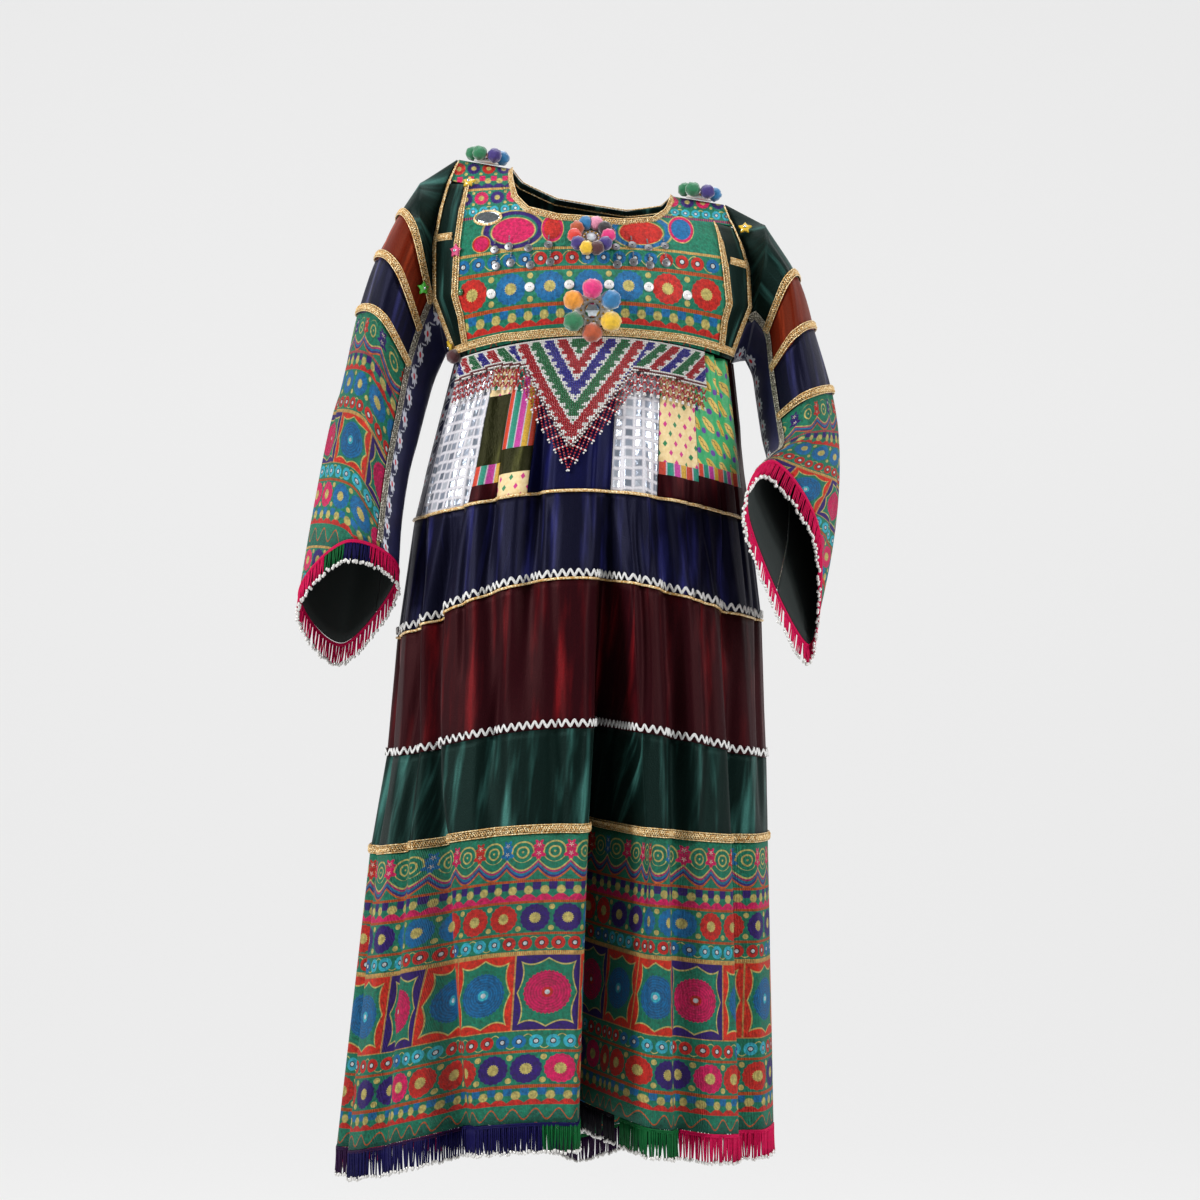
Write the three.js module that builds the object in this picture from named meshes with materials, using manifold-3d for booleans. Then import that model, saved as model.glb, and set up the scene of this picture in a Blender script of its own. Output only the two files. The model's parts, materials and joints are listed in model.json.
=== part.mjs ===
// A worn kuchi dress: embroidered yoke, pieced sleeves, patchwork tier, three velvet tiers,
// an embroidered hem band and beaded fringes. Millimetres, +Z up, the front faces -Y.
// The origin lies between the shoulders, where the wearer holds the dress up.
import * as THREE from 'three';
import Module from 'manifold-3d';

// Cloth and seams
const CLOTH = 2.0;            // thickness of a cloth wall
const SEAM = 0.3;             // gap between two pieces at a seam
const TRIM_THICK = 1.8;       // thickness of braid and ric-rac
const TRIM_LIFT = 1.0;        // gap between a trim and the cloth that it lies on
const DEG = Math.PI / 180;

// Colours of the cloths, trims, beads and threads
const EMBROIDERED = 0x1f8a6b;
const GREEN_VELVET = 0x0b2a26;
const NAVY_VELVET = 0x14143c;
const ROYAL_VELVET = 0x0e0f45;
const MAROON_VELVET = 0x3a060c;
const OLIVE_VELVET = 0x3a3e20;
const RUST_VELVET = 0xa8391e;
const MIRROR_CLOTH = 0xd8d8da;
const CREAM_BROCADE = 0xe8d8a8;
const GREEN_BROCADE = 0x1e7a4a;
const STRIPED_SILK = 0xd03048;
const WHITE_TRIM = 0xf2f2f2;
const GOLD_BRAID = 0xc79a52;
const RED_BEADS = 0xa51f2e;
const NAVY_THREAD = 0x1e1a55;
const PURPLE_THREAD = 0x3a1745;
const GREEN_THREAD = 0x0f7a45;
const PINK_THREAD = 0xd81159;

// Roughness and metalness
const CLOTH_FINISH = [0.85, 0];
const TRIM_FINISH = [0.5, 0.4];
const BEAD_FINISH = [0.3, 0];

// Skirt sections, one row for each seam from the waist to the hem.
// zl, zf, zr and zb are heights at the left, front, right and back.
// xl and xr are the outline from the front, yf and yb the outline from the side.
const SKIRT = [
  { seam: 'waist', zl: -208, zf: -188, zr: -210, zb: -200, xl: -152, xr: 172, yf: 126, yb: 98 },
  { seam: 'patch', zl: -391, zf: -362, zr: -392, zb: -398, xl: -197, xr: 190, yf: 166, yb: 140 },
  { seam: 'navy', zl: -524, zf: -456, zr: -504, zb: -520, xl: -216, xr: 204, yf: 186, yb: 166 },
  { seam: 'maroon', zl: -660, zf: -620, zr: -661, zb: -668, xl: -228, xr: 210, yf: 196, yb: 186 },
  { seam: 'green', zl: -770, zf: -732, zr: -752, zb: -778, xl: -247, xr: 211, yf: 205, yb: 202 },
  { seam: 'hem', zl: -1105, zf: -1044, zr: -1076, zb: -1124, xl: -285, xr: 217, yf: 216, yb: 226 },
];

// Main folds of the skirt: troughs between its hanging panels.
// Angles run from the front towards the wearer's left, in degrees, at the patch seam (top)
// and the hem; bow bends the fold sideways halfway. Half widths are in degrees and depths in
// millimetres. A fold starts at one section and ends at another, counted from the waist.
const FOLDS = [
  { top: 9, hem: 15, bow: -2, wTop: 6, wHem: 10, dTop: 16, dHem: 92, from: 0.2, to: 9 },
  { top: -16, hem: -14, bow: 0, wTop: 6, wHem: 6, dTop: 22, dHem: 0, from: 0.1, to: 3 },
  { top: -32, hem: -18, bow: 0, wTop: 5, wHem: 7, dTop: 12, dHem: 4, from: 0.3, to: 9 },
  { top: -46, hem: -27, bow: -13, wTop: 6, wHem: 9, dTop: 12, dHem: 40, from: 0.5, to: 9 },
  { top: 27, hem: 37, bow: -1, wTop: 5, wHem: 7, dTop: 14, dHem: 26, from: 0.3, to: 9 },
  { top: 50, hem: 62, bow: 0, wTop: 7, wHem: 8, dTop: 8, dHem: 24, from: 0.8, to: 9 },
  { top: 84, hem: 92, bow: 0, wTop: 8, wHem: 9, dTop: 10, dHem: 34, from: 0.4, to: 9 },
  { top: 112, hem: 118, bow: 3, wTop: 7, wHem: 10, dTop: 14, dHem: 46, from: 0.2, to: 9 },
  { top: 138, hem: 146, bow: -2, wTop: 6, wHem: 8, dTop: 12, dHem: 26, from: 0.5, to: 9 },
  { top: 165, hem: 172, bow: 2, wTop: 6, wHem: 11, dTop: 16, dHem: 62, from: 0.1, to: 9 },
  { top: 190, hem: 198, bow: 0, wTop: 6, wHem: 8, dTop: 12, dHem: 22, from: 0.6, to: 9 },
  { top: 216, hem: 224, bow: -3, wTop: 7, wHem: 10, dTop: 15, dHem: 50, from: 0.3, to: 9 },
  { top: 244, hem: 252, bow: 2, wTop: 7, wHem: 9, dTop: 12, dHem: 34, from: 0.5, to: 9 },
  { top: 274, hem: 284, bow: 0, wTop: 7, wHem: 9, dTop: 10, dHem: 30, from: 0.7, to: 9 },
  { top: 294, hem: 308, bow: 0, wTop: 6, wHem: 7, dTop: 8, dHem: 14, from: 0.9, to: 9 },
];
const FOLD_START = 0.9;       // a fold reaches its full depth this many sections below its start
const FOLD_ABOVE = 0.25;      // how far above the patch seam a fold keeps its slant
const GATHERS = 26;           // small gathers round the waist
const GATHER_DEPTH = 4;
const GATHER_LENGTH = 0.85;   // they fade out within this share of the patch tier

// Columns round the skirt, and the rows of each tier by their place from seam to seam:
// a trim on a tier lies exactly between two of its rows
const TIER_COLUMNS = 72;
const PATCH_COLUMNS = 104;
const PATCH_ROWS = 3;
const PATCH_RADIUS = 150;     // about the skirt's radius there, for the gap between two strips
const COLUMN_STEPS = 1440;    // how finely the skirt's round is searched for its columns
const COLUMN_PULL = 0.9;      // how strongly steep folds draw the columns together
const COLUMN_PLACE = 4.5;     // the section that decides it, halfway down the hem band
const TIERS = [
  { name: 'navy_tier', places: [1, 1.91, 2], color: NAVY_VELVET },
  { name: 'maroon_tier', places: [2, 2.95, 3], color: MAROON_VELVET },
  { name: 'green_tier', places: [3, 3.93, 4], color: GREEN_VELVET },
  { name: 'hem_band', places: [4, 4.5, 5], color: EMBROIDERED },
];

// Strips of the patch tier, by their first and last angle from the front
const PATCHES = [
  { name: 'patch_mirror_left', a: -71, b: -41, color: MIRROR_CLOTH },
  { name: 'patch_olive', a: -41, b: -31, color: OLIVE_VELVET },
  { name: 'patch_stripes', a: -31, b: -19, color: STRIPED_SILK },
  { name: 'patch_royal', a: -19, b: 10, color: ROYAL_VELVET },
  { name: 'patch_mirror_right', a: 10, b: 27, color: MIRROR_CLOTH },
  { name: 'patch_cream', a: 27, b: 43, color: CREAM_BROCADE },
  { name: 'patch_brocade', a: 43, b: 72, color: GREEN_BROCADE },
  { name: 'patch_side_right', a: 72, b: 108, color: MAROON_VELVET },
  { name: 'patch_back_right', a: 108, b: 144, color: ROYAL_VELVET },
  { name: 'patch_back_middle_right', a: 144, b: 180, color: OLIVE_VELVET },
  { name: 'patch_back_middle_left', a: 180, b: 216, color: CREAM_BROCADE },
  { name: 'patch_back_left', a: 216, b: 252, color: MAROON_VELVET },
  { name: 'patch_side_left', a: 252, b: 289, color: NAVY_VELVET },
];

// Trims round the skirt, each on a tier between one of its rows and the next
const SKIRT_TRIMS = [
  { name: 'ricrac_navy', tier: 0, row: 1, color: WHITE_TRIM },
  { name: 'ricrac_maroon', tier: 1, row: 1, color: WHITE_TRIM },
  { name: 'braid_hem_band', tier: 2, row: 1, color: GOLD_BRAID },
];

const SHOULDER = 20;          // height of the shoulder seam
const SEAM_REACH = 6;         // the bodice's points this near to it lie on the shoulder seam

// Bodice sections from the waist to the shoulder line
const BODICE = [
  { z: -205, xl: -152, xr: 172, yf: 126, yb: 98 },
  { z: -140, xl: -178, xr: 194, yf: 134, yb: 106 },
  { z: -80, xl: -178, xr: 192, yf: 120, yb: 108 },
  { z: -40, xl: -170, xr: 184, yf: 96, yb: 98 },
  { z: -10, xl: -162, xr: 176, yf: 60, yb: 72 },
  { z: 12, xl: -154, xr: 168, yf: 20, yb: 34 },
  { z: SHOULDER, xl: -150, xr: 164, yf: -3.7, yb: 4.7 },
];
const SHOULDER_DROP = 0.17;   // how far the right shoulder hangs lower, per millimetre across
const DROP_CENTRE = -113;     // the left strap's middle, which stays level
const CHEST_SQUARE = 0.85;    // under 1, the chest is squarer than an ellipse
const CHEST_DEPTH = 30;       // the least depth that turns a panel's outward direction
const DROP_CURVE = 1.5;       // the shoulder's drop dies away towards the waist
const ARMHOLE_ANGLE = 76;     // bodice panels end at this angle from the front or back
// Angle of the yoke's side edges, by the share of the way down from the shoulder to the waist:
// the straps reach the armhole, and a velvet side panel is let in below them
const YOKE_EDGE = [
  { share: 0, angle: 76 },
  { share: 0.12, angle: 76 },
  { share: 0.135, angle: 56 },
  { share: 0.44, angle: 54 },
  { share: 0.82, angle: 56 },
  { share: 1, angle: 61 },
];

// Neckline: how far the top edge lies below the shoulder line, by the angle from the front
const NECK_FRONT = [
  { angle: -90, top: SHOULDER },
  { angle: -36, top: SHOULDER },
  { angle: -34, top: 4 },
  { angle: -30, top: -20 },
  { angle: -24, top: -36 },
  { angle: -12, top: -42 },
  { angle: 12, top: -38 },
  { angle: 24, top: -26 },
  { angle: 30, top: -8 },
  { angle: 36, top: SHOULDER },
  { angle: 90, top: SHOULDER },
];
const NECK_BACK = [
  { angle: -90, top: SHOULDER },
  { angle: -36, top: SHOULDER },
  { angle: -30, top: 10 },
  { angle: -14, top: 0 },
  { angle: 14, top: 0 },
  { angle: 30, top: 10 },
  { angle: 36, top: SHOULDER },
  { angle: 90, top: SHOULDER },
];

// Sleeves: closed sections from below the armhole to the cuff, through four points each:
// outer, front, inner and back. The first section is the armhole itself.
const SLEEVE_LEFT = [
  { outer: [-190, 0, -2], front: [-184, -58, -66], inner: [-160, 0, -199], back: [-188, 56, -76] },
  { outer: [-216, 0, -44], front: [-194, -66, -66], inner: [-166, 0, -212], back: [-200, 60, -92] },
  { outer: [-241, -2, -92], front: [-212, -74, -113], inner: [-174, -4, -232], back: [-212, 62, -128] },
  { outer: [-262, -4, -156], front: [-228, -80, -168], inner: [-182, -12, -262], back: [-228, 58, -180] },
  { outer: [-275, -8, -216], front: [-238, -88, -233], inner: [-191, -24, -300], back: [-238, 48, -245] },
  { outer: [-291, -16, -275], front: [-248, -98, -297], inner: [-200, -38, -338], back: [-250, 36, -320] },
  { outer: [-310, -32, -380], front: [-256, -118, -365], inner: [-207, -56, -392], back: [-262, 18, -430] },
  { outer: [-323, -60, -472], front: [-262, -138, -414], inner: [-209, -80, -448], back: [-278, -2, -530] },
];
const SLEEVE_RIGHT = [
  { outer: [206, 0, -50], front: [204, -60, -92], inner: [184, 0, -206], back: [206, 58, -96] },
  { outer: [246, 0, -116], front: [228, -68, -126], inner: [192, 0, -224], back: [232, 62, -140] },
  { outer: [264, -2, -172], front: [236, -76, -188], inner: [196, -4, -252], back: [240, 62, -196] },
  { outer: [284, -8, -246], front: [246, -88, -258], inner: [202, -16, -296], back: [250, 60, -270] },
  { outer: [291, -26, -310], front: [246, -114, -296], inner: [206, -62, -330], back: [266, 30, -370] },
  { outer: [284, -62, -356], front: [230, -142, -312], inner: [194, -124, -356], back: [266, -30, -456] },
  { outer: [262, -108, -404], front: [208, -168, -328], inner: [178, -190, -388], back: [250, -100, -530] },
];
const SLEEVE_COLUMNS = 16;
const GUSSET_COLUMNS = 4;
// Pieces of a sleeve down its length, by the places of their rows from the armhole;
// a braid lies between the last two rows of a piece
const SLEEVE_PARTS = [
  { name: 'cap', places: [0, 1, 1.86, 2], braid: true, color: GREEN_VELVET },
  { name: 'rust', places: [2, 2.84, 3], braid: true, color: RUST_VELVET },
  { name: 'navy', places: [3, 3.84, 4], braid: true, color: NAVY_VELVET },
];
const GUSSET_HALF = 0.125;    // half of the underarm gusset's share of the sleeve's round
const SEAM_SHARE = 0.004;     // a seam's gap as a share of the sleeve's round or of a section
const ARMHOLE_GAP = 0.5;      // in degrees of the bodice's round
const ARMHOLE_OUT = 1.7;      // the sleeve's first row lies outside the armhole's edge
const ARMHOLE_SIDES = 0.94;   // share of each half of the armhole that follows a panel's edge
const ARMHOLE_FOOT = 1.5;     // the armhole ends this far above the waist seam

// Fringe
const STRIP_HEIGHT = 4;
const STRIP_THICK = 1.2;
const CUFF_CLEAR_LEFT = 0.3;
const CUFF_CLEAR_RIGHT = 2.6; // this cuff bends more sharply at its corners
const HEM_STRAND = 31;
const CUFF_STRAND = 24;
const HANG = 0.4;             // how far a strand turns from the way the cloth runs to straight down
const STRAND_TIP = 0.55;      // a strand's tip is this much of its root
const STRAND_VARY = 0.06;     // strands are longer and shorter by this share
const STRAND_TURN = 2.4;      // from one strand to the next, in radians of that variation
const HEM_FRINGE = [
  { name: 'fringe_hem_left', a: -96, b: -28, strands: 18, color: NAVY_THREAD },
  { name: 'fringe_hem_middle', a: -27.5, b: 8, strands: 10, color: NAVY_THREAD },
  { name: 'fringe_hem_fold', a: 8.5, b: 22, strands: 7, color: PURPLE_THREAD },
  { name: 'fringe_hem_green', a: 22.5, b: 37, strands: 5, color: GREEN_THREAD },
  { name: 'fringe_hem_pink', a: 37.5, b: 96, strands: 15, color: PINK_THREAD },
  { name: 'fringe_hem_back_right', a: 96.5, b: 180, strands: 22, color: GREEN_THREAD },
  { name: 'fringe_hem_back_left', a: 180.5, b: 263.5, strands: 22, color: NAVY_THREAD },
];
const CUFF_STRANDS = 18;

// Bead panel on the front: its lower edge drops to a point in the middle.
// Angles from the front in degrees, drops in millimetres below the waist seam.
const BEAD_EDGE = [
  { angle: -66, drop: 30 },
  { angle: -39, drop: 24 },
  { angle: -26, drop: 30 },
  { angle: -5, drop: 128 },
  { angle: 16, drop: 38 },
  { angle: 49, drop: 42 },
];
const BEAD_TOP = 2;
const BEAD_COLUMNS = 24;
const BEAD_ROWS = 3;
const BEAD_LIFT = 2.5;        // the panel stands clear of the gathers
const NET_WIDTH = 24;         // the bead net is finer than 300 gaps, so it is one thin wall
const NET_DROP = 0.8;

// Rosettes of pompoms on a disc: their place on the bodice by angle and height, the radius of
// the ring of pompoms, how many they are, and the radius of each and of the disc
const DISC_THICK = 3;
const DISC_SIDES = 12;
const ROSETTE_LIFT = 0.8;
const BALL_LIFT = 0.5;        // the pompoms sit this far above the disc's foot
const ROSETTES = [
  { name: 'rosette_neck', angle: 0, z: -70, ring: 19, balls: 10, ball: 7.5, disc: 14 },
  { name: 'rosette_waist', angle: 0, z: -158, ring: 25, balls: 6, ball: 9.5, disc: 21 },
];
const SHOULDER_ROSETTES = [
  { name: 'rosette_shoulder_left', x: -114, ring: 17, balls: 6, ball: 8.5, disc: 15 },
  { name: 'rosette_shoulder_right', x: 130, ring: 17, balls: 6, ball: 8.5, disc: 15 },
];

const lerp = (a, b, t) => a + (b - a) * t;
const clamp = (t, low, high) => Math.min(high, Math.max(low, t));

// A value of a table's column between two of its rows
function between(rows, place, column) {
  const i = clamp(Math.floor(place), 0, rows.length - 2);
  return lerp(rows[i][column], rows[i + 1][column], place - i);
}

// A column's value where another column has a given value
function lookup(rows, key, value, column) {
  let i = 0;
  while (i < rows.length - 2 && (rows[i + 1][key] - value) * (rows[1][key] - rows[0][key]) < 0) {
    i += 1;
  }
  const share = (value - rows[i][key]) / (rows[i + 1][key] - rows[i][key]);
  return lerp(rows[i][column], rows[i + 1][column], clamp(share, 0, 1));
}

// Height of the skirt at an angle: the left, front, right and back heights, joined smoothly
function skirtHeight(angle, place) {
  const zl = between(SKIRT, place, 'zl');
  const zr = between(SKIRT, place, 'zr');
  const zf = between(SKIRT, place, 'zf');
  const zb = between(SKIRT, place, 'zb');
  const across = Math.sin(angle * DEG);
  const ahead = Math.cos(angle * DEG);
  const sides = (zr + zl) / 2 + across * (zr - zl) / 2;
  const ends = (zf + zb) / 2 + ahead * (zf - zb) / 2;
  return sides * across * across + ends * ahead * ahead;
}

// How deep the folds push the skirt in at an angle and place
function foldDepth(angle, place) {
  let depth = 0;
  for (const fold of FOLDS) {
    const share = clamp((place - 1) / (SKIRT.length - 2), -FOLD_ABOVE, 1);
    const centre = lerp(fold.top, fold.hem, share) + fold.bow * 4 * share * (1 - share);
    const half = lerp(fold.wTop, fold.wHem, Math.max(share, 0));
    let turn = angle - centre;
    turn -= 360 * Math.round(turn / 360);
    if (Math.abs(turn) < half) {
      const fade = clamp((place - fold.from) / FOLD_START, 0, 1) * clamp(fold.to - place, 0, 1);
      const full = lerp(fold.dTop, fold.dHem, Math.max(share, 0));
      depth += full * fade * (0.5 + 0.5 * Math.cos(Math.PI * turn / half));
    }
  }
  return depth;
}

function gatherDepth(angle, place) {
  const fade = clamp(1 - place / GATHER_LENGTH, 0, 1);
  return GATHER_DEPTH * fade * (0.5 - 0.5 * Math.cos(GATHERS * angle * DEG));
}

// A point of the skirt's outer face, moved out by lift
function skirtPoint(angle, place, lift = 0, drop = 0) {
  const xl = between(SKIRT, place, 'xl');
  const xr = between(SKIRT, place, 'xr');
  const ahead = Math.cos(angle * DEG);
  const across = Math.sin(angle * DEG);
  const half = (xr - xl) / 2;
  const deep = between(SKIRT, place, ahead > 0 ? 'yf' : 'yb');
  const out = new THREE.Vector2(across / half, -ahead / deep).normalize();
  const push = lift - foldDepth(angle, place) - gatherDepth(angle, place);
  const x = (xl + xr) / 2 + half * across + out.x * push;
  const y = -deep * ahead + out.y * push;
  return new THREE.Vector3(x, y, skirtHeight(angle, place) - drop);
}

function skirtNormal(angle, place) {
  const step = 0.5;
  const across = skirtPoint(angle + step, place).sub(skirtPoint(angle - step, place));
  return new THREE.Vector3(across.y, -across.x, 0).normalize();
}

// Angles round the skirt, closer together where the hem's folds turn steeply
function skirtAngles(count) {
  const weight = [];
  const turn = 360 / COLUMN_STEPS;
  let total = 0;
  for (let i = 0; i < COLUMN_STEPS; i += 1) {
    const angle = -180 + turn * i;
    const slope = Math.abs(foldDepth(angle + turn, COLUMN_PLACE) - foldDepth(angle, COLUMN_PLACE));
    total += 1 + COLUMN_PULL * slope;
    weight.push(total);
  }
  const angles = [];
  let next = 0;
  for (let i = 0; i < COLUMN_STEPS && angles.length < count; i += 1) {
    if (weight[i] >= next * total / count + 0.5) {
      angles.push(-180 + turn * i);
      next += 1;
    }
  }
  return angles;
}

// Outward normals of a grid of points; a flat normal has no height
function gridNormals(grid, closed, flat) {
  const rows = grid.length;
  const columns = grid[0].length;
  return grid.map((row, j) => row.map((point, i) => {
    const left = closed ? (i + columns - 1) % columns : Math.max(i - 1, 0);
    const right = closed ? (i + 1) % columns : Math.min(i + 1, columns - 1);
    const across = row[right].clone().sub(row[left]);
    if (flat) {
      return new THREE.Vector3(across.y, -across.x, 0).normalize();
    }
    const down = grid[Math.min(j + 1, rows - 1)][i].clone().sub(grid[Math.max(j - 1, 0)][i]);
    return down.cross(across).normalize();
  }));
}

// A closed wall with an outer grid of points, rows from the top, columns to the wearer's left
function wallGeometry(grid, thickness, closed, flat, given = null) {
  const normals = given ?? gridNormals(grid, closed, flat);
  const rows = grid.length;
  const columns = grid[0].length;
  const points = [];
  for (const side of [0, -thickness]) {
    grid.forEach((row, j) => row.forEach((p, i) => {
      points.push(p.clone().addScaledVector(normals[j][i], side));
    }));
  }
  const inner = rows * columns;
  const at = (j, i) => j * columns + (i % columns);
  const faces = [];
  const quad = (a, b, c, d) => faces.push(a, b, c, a, c, d);
  const last = closed ? columns : columns - 1;
  for (let i = 0; i < last; i += 1) {
    for (let j = 0; j < rows - 1; j += 1) {
      const [a, b, c, d] = [at(j, i), at(j, i + 1), at(j + 1, i + 1), at(j + 1, i)];
      quad(a, d, c, b);
      quad(a + inner, b + inner, c + inner, d + inner);
    }
    quad(at(0, i), at(0, i + 1), at(0, i + 1) + inner, at(0, i) + inner);
    const end = rows - 1;
    quad(at(end, i), at(end, i) + inner, at(end, i + 1) + inner, at(end, i + 1));
  }
  if (!closed) {
    for (let j = 0; j < rows - 1; j += 1) {
      quad(at(j, 0), at(j, 0) + inner, at(j + 1, 0) + inner, at(j + 1, 0));
      const e = columns - 1;
      quad(at(j, e), at(j + 1, e), at(j + 1, e) + inner, at(j, e) + inner);
    }
  }
  return facesGeometry(points, faces);
}

function facesGeometry(points, faces) {
  const geometry = new THREE.BufferGeometry();
  const places = points.flatMap((p) => p.toArray());
  geometry.setAttribute('position', new THREE.Float32BufferAttribute(places, 3));
  geometry.setIndex(faces);
  geometry.computeVertexNormals();
  return geometry;
}

const dress = new THREE.Group();
dress.name = 'kuchi_dress';

function addPiece(name, geometry, color, finish = CLOTH_FINISH) {
  const [roughness, metalness] = finish;
  const material = new THREE.MeshStandardMaterial({ color, roughness, metalness });
  const mesh = new THREE.Mesh(geometry, material);
  mesh.name = name;
  dress.add(mesh);
}

// Velvet tiers and hem band: closed walls from one seam to the next
const tierAngles = skirtAngles(TIER_COLUMNS);
const tierGrids = [];
for (const tier of TIERS) {
  const grid = [];
  tierGrids.push(grid);
  tier.places.forEach((place, j) => {
    const drop = j === 0 ? SEAM : 0;
    grid.push(tierAngles.map((angle) => skirtPoint(angle, place, 0, drop)));
  });
  addPiece(tier.name, wallGeometry(grid, CLOTH, true, true), tier.color);
}

// Patch strips: open walls side by side, gathered into the waist seam
for (const patch of PATCHES) {
  const columns = Math.max(3, Math.round((patch.b - patch.a) / 360 * PATCH_COLUMNS));
  const seamAngle = SEAM / PATCH_RADIUS / DEG;
  const grid = [];
  const normals = [];
  for (let j = 0; j <= PATCH_ROWS; j += 1) {
    const angles = [];
    for (let i = 0; i <= columns; i += 1) {
      angles.push(lerp(patch.a + seamAngle, patch.b - seamAngle, i / columns));
    }
    grid.push(angles.map((angle) => skirtPoint(angle, j / PATCH_ROWS)));
    normals.push(angles.map((angle) => skirtNormal(angle, j / PATCH_ROWS)));
  }
  addPiece(patch.name, wallGeometry(grid, CLOTH, false, true, normals), patch.color);
}

function movedOut(grid, normals, lift) {
  return grid.map((row, j) => row.map((p, i) => p.clone().addScaledVector(normals[j][i], lift)));
}

// Trims round the skirt, made from the tiers' own points and moved out
for (const trim of SKIRT_TRIMS) {
  const grid = tierGrids[trim.tier].slice(trim.row, trim.row + 2);
  const normals = gridNormals(grid, true, true);
  const lift = TRIM_LIFT + TRIM_THICK;
  const moved = movedOut(grid, normals, lift);
  addPiece(trim.name, wallGeometry(moved, TRIM_THICK, true, true), trim.color, TRIM_FINISH);
}

// Bodice: a point of its outer face by angle and height before the shoulder's drop
function bodicePoint(angle, z, lift = 0) {
  const xl = lookup(BODICE, 'z', z, 'xl');
  const xr = lookup(BODICE, 'z', z, 'xr');
  const ahead = Math.cos(angle * DEG);
  const across = Math.sin(angle * DEG);
  const half = (xr - xl) / 2;
  const deep = lookup(BODICE, 'z', z, ahead > 0 ? 'yf' : 'yb');
  const facing = -ahead / Math.max(Math.abs(deep), CHEST_DEPTH);
  const out = new THREE.Vector2(across / half, facing).normalize();
  const x = (xl + xr) / 2 + half * across + out.x * lift;
  const y = -deep * Math.sign(ahead) * Math.abs(ahead) ** CHEST_SQUARE + out.y * lift;
  const high = clamp(1 - z / BODICE[0].z, 0, 1) ** DROP_CURVE;
  const drop = SHOULDER_DROP * (x - DROP_CENTRE) * high;
  return new THREE.Vector3(x, y, z - drop);
}

// Height of the waist seam on the bodice's own scale
function waistHeight(angle) {
  return skirtHeight(angle, 0) + SEAM;
}

// Bodice panels: rows by their share of the way from the top edge to the waist seam
const BODICE_ROWS = [0, 0.12, 0.135, 0.28, 0.44, 0.62, 0.82, 1];
const SIDE_ROWS = [0.141, 0.28, 0.44, 0.62, 0.82, 1];
const BODICE_COLUMNS = 20;
const SIDE_COLUMNS = 3;
const PANEL_GAP = 0.09;       // half a seam's gap, in degrees of the bodice's round
const yokeEdge = (share) => lookup(YOKE_EDGE, 'share', share, 'angle');
const BODICE_PANELS = [
  { name: 'bodice_front', first: (s) => -yokeEdge(s), last: yokeEdge, color: EMBROIDERED },
  { name: 'side_panel_left', first: () => -ARMHOLE_ANGLE, last: (s) => -yokeEdge(s), color: GREEN_VELVET },
  { name: 'side_panel_right', first: yokeEdge, last: () => ARMHOLE_ANGLE, color: GREEN_VELVET },
  { name: 'bodice_back', first: () => -ARMHOLE_ANGLE, last: () => ARMHOLE_ANGLE, color: GREEN_VELVET },
];
for (const { name, first, last, color } of BODICE_PANELS) {
  const behind = name === 'bodice_back';
  const side = name.startsWith('side');
  const columns = side ? SIDE_COLUMNS : BODICE_COLUMNS;
  const grid = (side ? SIDE_ROWS : BODICE_ROWS).map((share) => {
    const row = [];
    for (let i = 0; i <= columns; i += 1) {
      const angle = lerp(first(share) + PANEL_GAP, last(share) - PANEL_GAP, i / columns);
      const top = lookup(behind ? NECK_BACK : NECK_FRONT, 'angle', angle, 'top');
      const full = behind ? 180 + angle : angle;
      row.push(bodicePoint(full, lerp(top, waistHeight(full), share)));
    }
    return row;
  });
  const normals = gridNormals(grid, false, false);
  if (!side) {
    grid[0].forEach((p, i) => {
      const onSeam = Math.abs(p.y) < SEAM_REACH;
      normals[0][i] = onSeam ? new THREE.Vector3(0, 0, 1) : normals[0][i];
    });
  }
  addPiece(name, wallGeometry(grid, CLOTH, false, false, normals), color);
}

// Sleeves: four named points of a section, joined by a smooth closed curve
function sectionPoint(section, turn) {
  const knots = [section.outer, section.front, section.inner, section.back];
  const whole = Math.floor(turn * 4);
  const t = turn * 4 - whole;
  const [a, b, c, d] = [3, 0, 1, 2].map((step) => knots[(whole + step) % 4]);
  const point = b.map((value, i) => {
    const slope = (c[i] - a[i]) / 2;
    const nextSlope = (d[i] - value) / 2;
    const bend = 3 * (c[i] - value) - 2 * slope - nextSlope;
    const twist = 2 * (value - c[i]) + slope + nextSlope;
    return value + slope * t + bend * t * t + twist * t * t * t;
  });
  return new THREE.Vector3(...point);
}

// The armhole: down the bodice's front edge, across below the arm and up the back edge
function armholePoint(side, turn) {
  const reach = ARMHOLE_ANGLE + ARMHOLE_GAP;
  const share = 1 - Math.abs(1 - 2 * turn);
  const down = Math.min(share / ARMHOLE_SIDES, 1);
  const front = side * reach;
  const back = 180 - front;
  const edge = (angle) => bodicePoint(angle, lerp(SHOULDER, waistHeight(angle) + ARMHOLE_FOOT, down));
  const across = clamp((share - ARMHOLE_SIDES) / (1 - ARMHOLE_SIDES), 0, 1) / 2;
  const [here, there] = turn < 0.5 ? [front, back] : [back, front];
  const point = edge(here).lerp(edge(there), across);
  point.x += side * ARMHOLE_OUT;
  return point;
}

function sleevePoint(side, sections, turn, place) {
  const round = turn - Math.floor(turn);
  const at = (k) => (k === 0 ? armholePoint(side, round) : sectionPoint(sections[k - 1], round));
  const k = Math.min(Math.floor(place), sections.length - 1);
  return at(k).lerp(at(k + 1), place - k);
}

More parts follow.
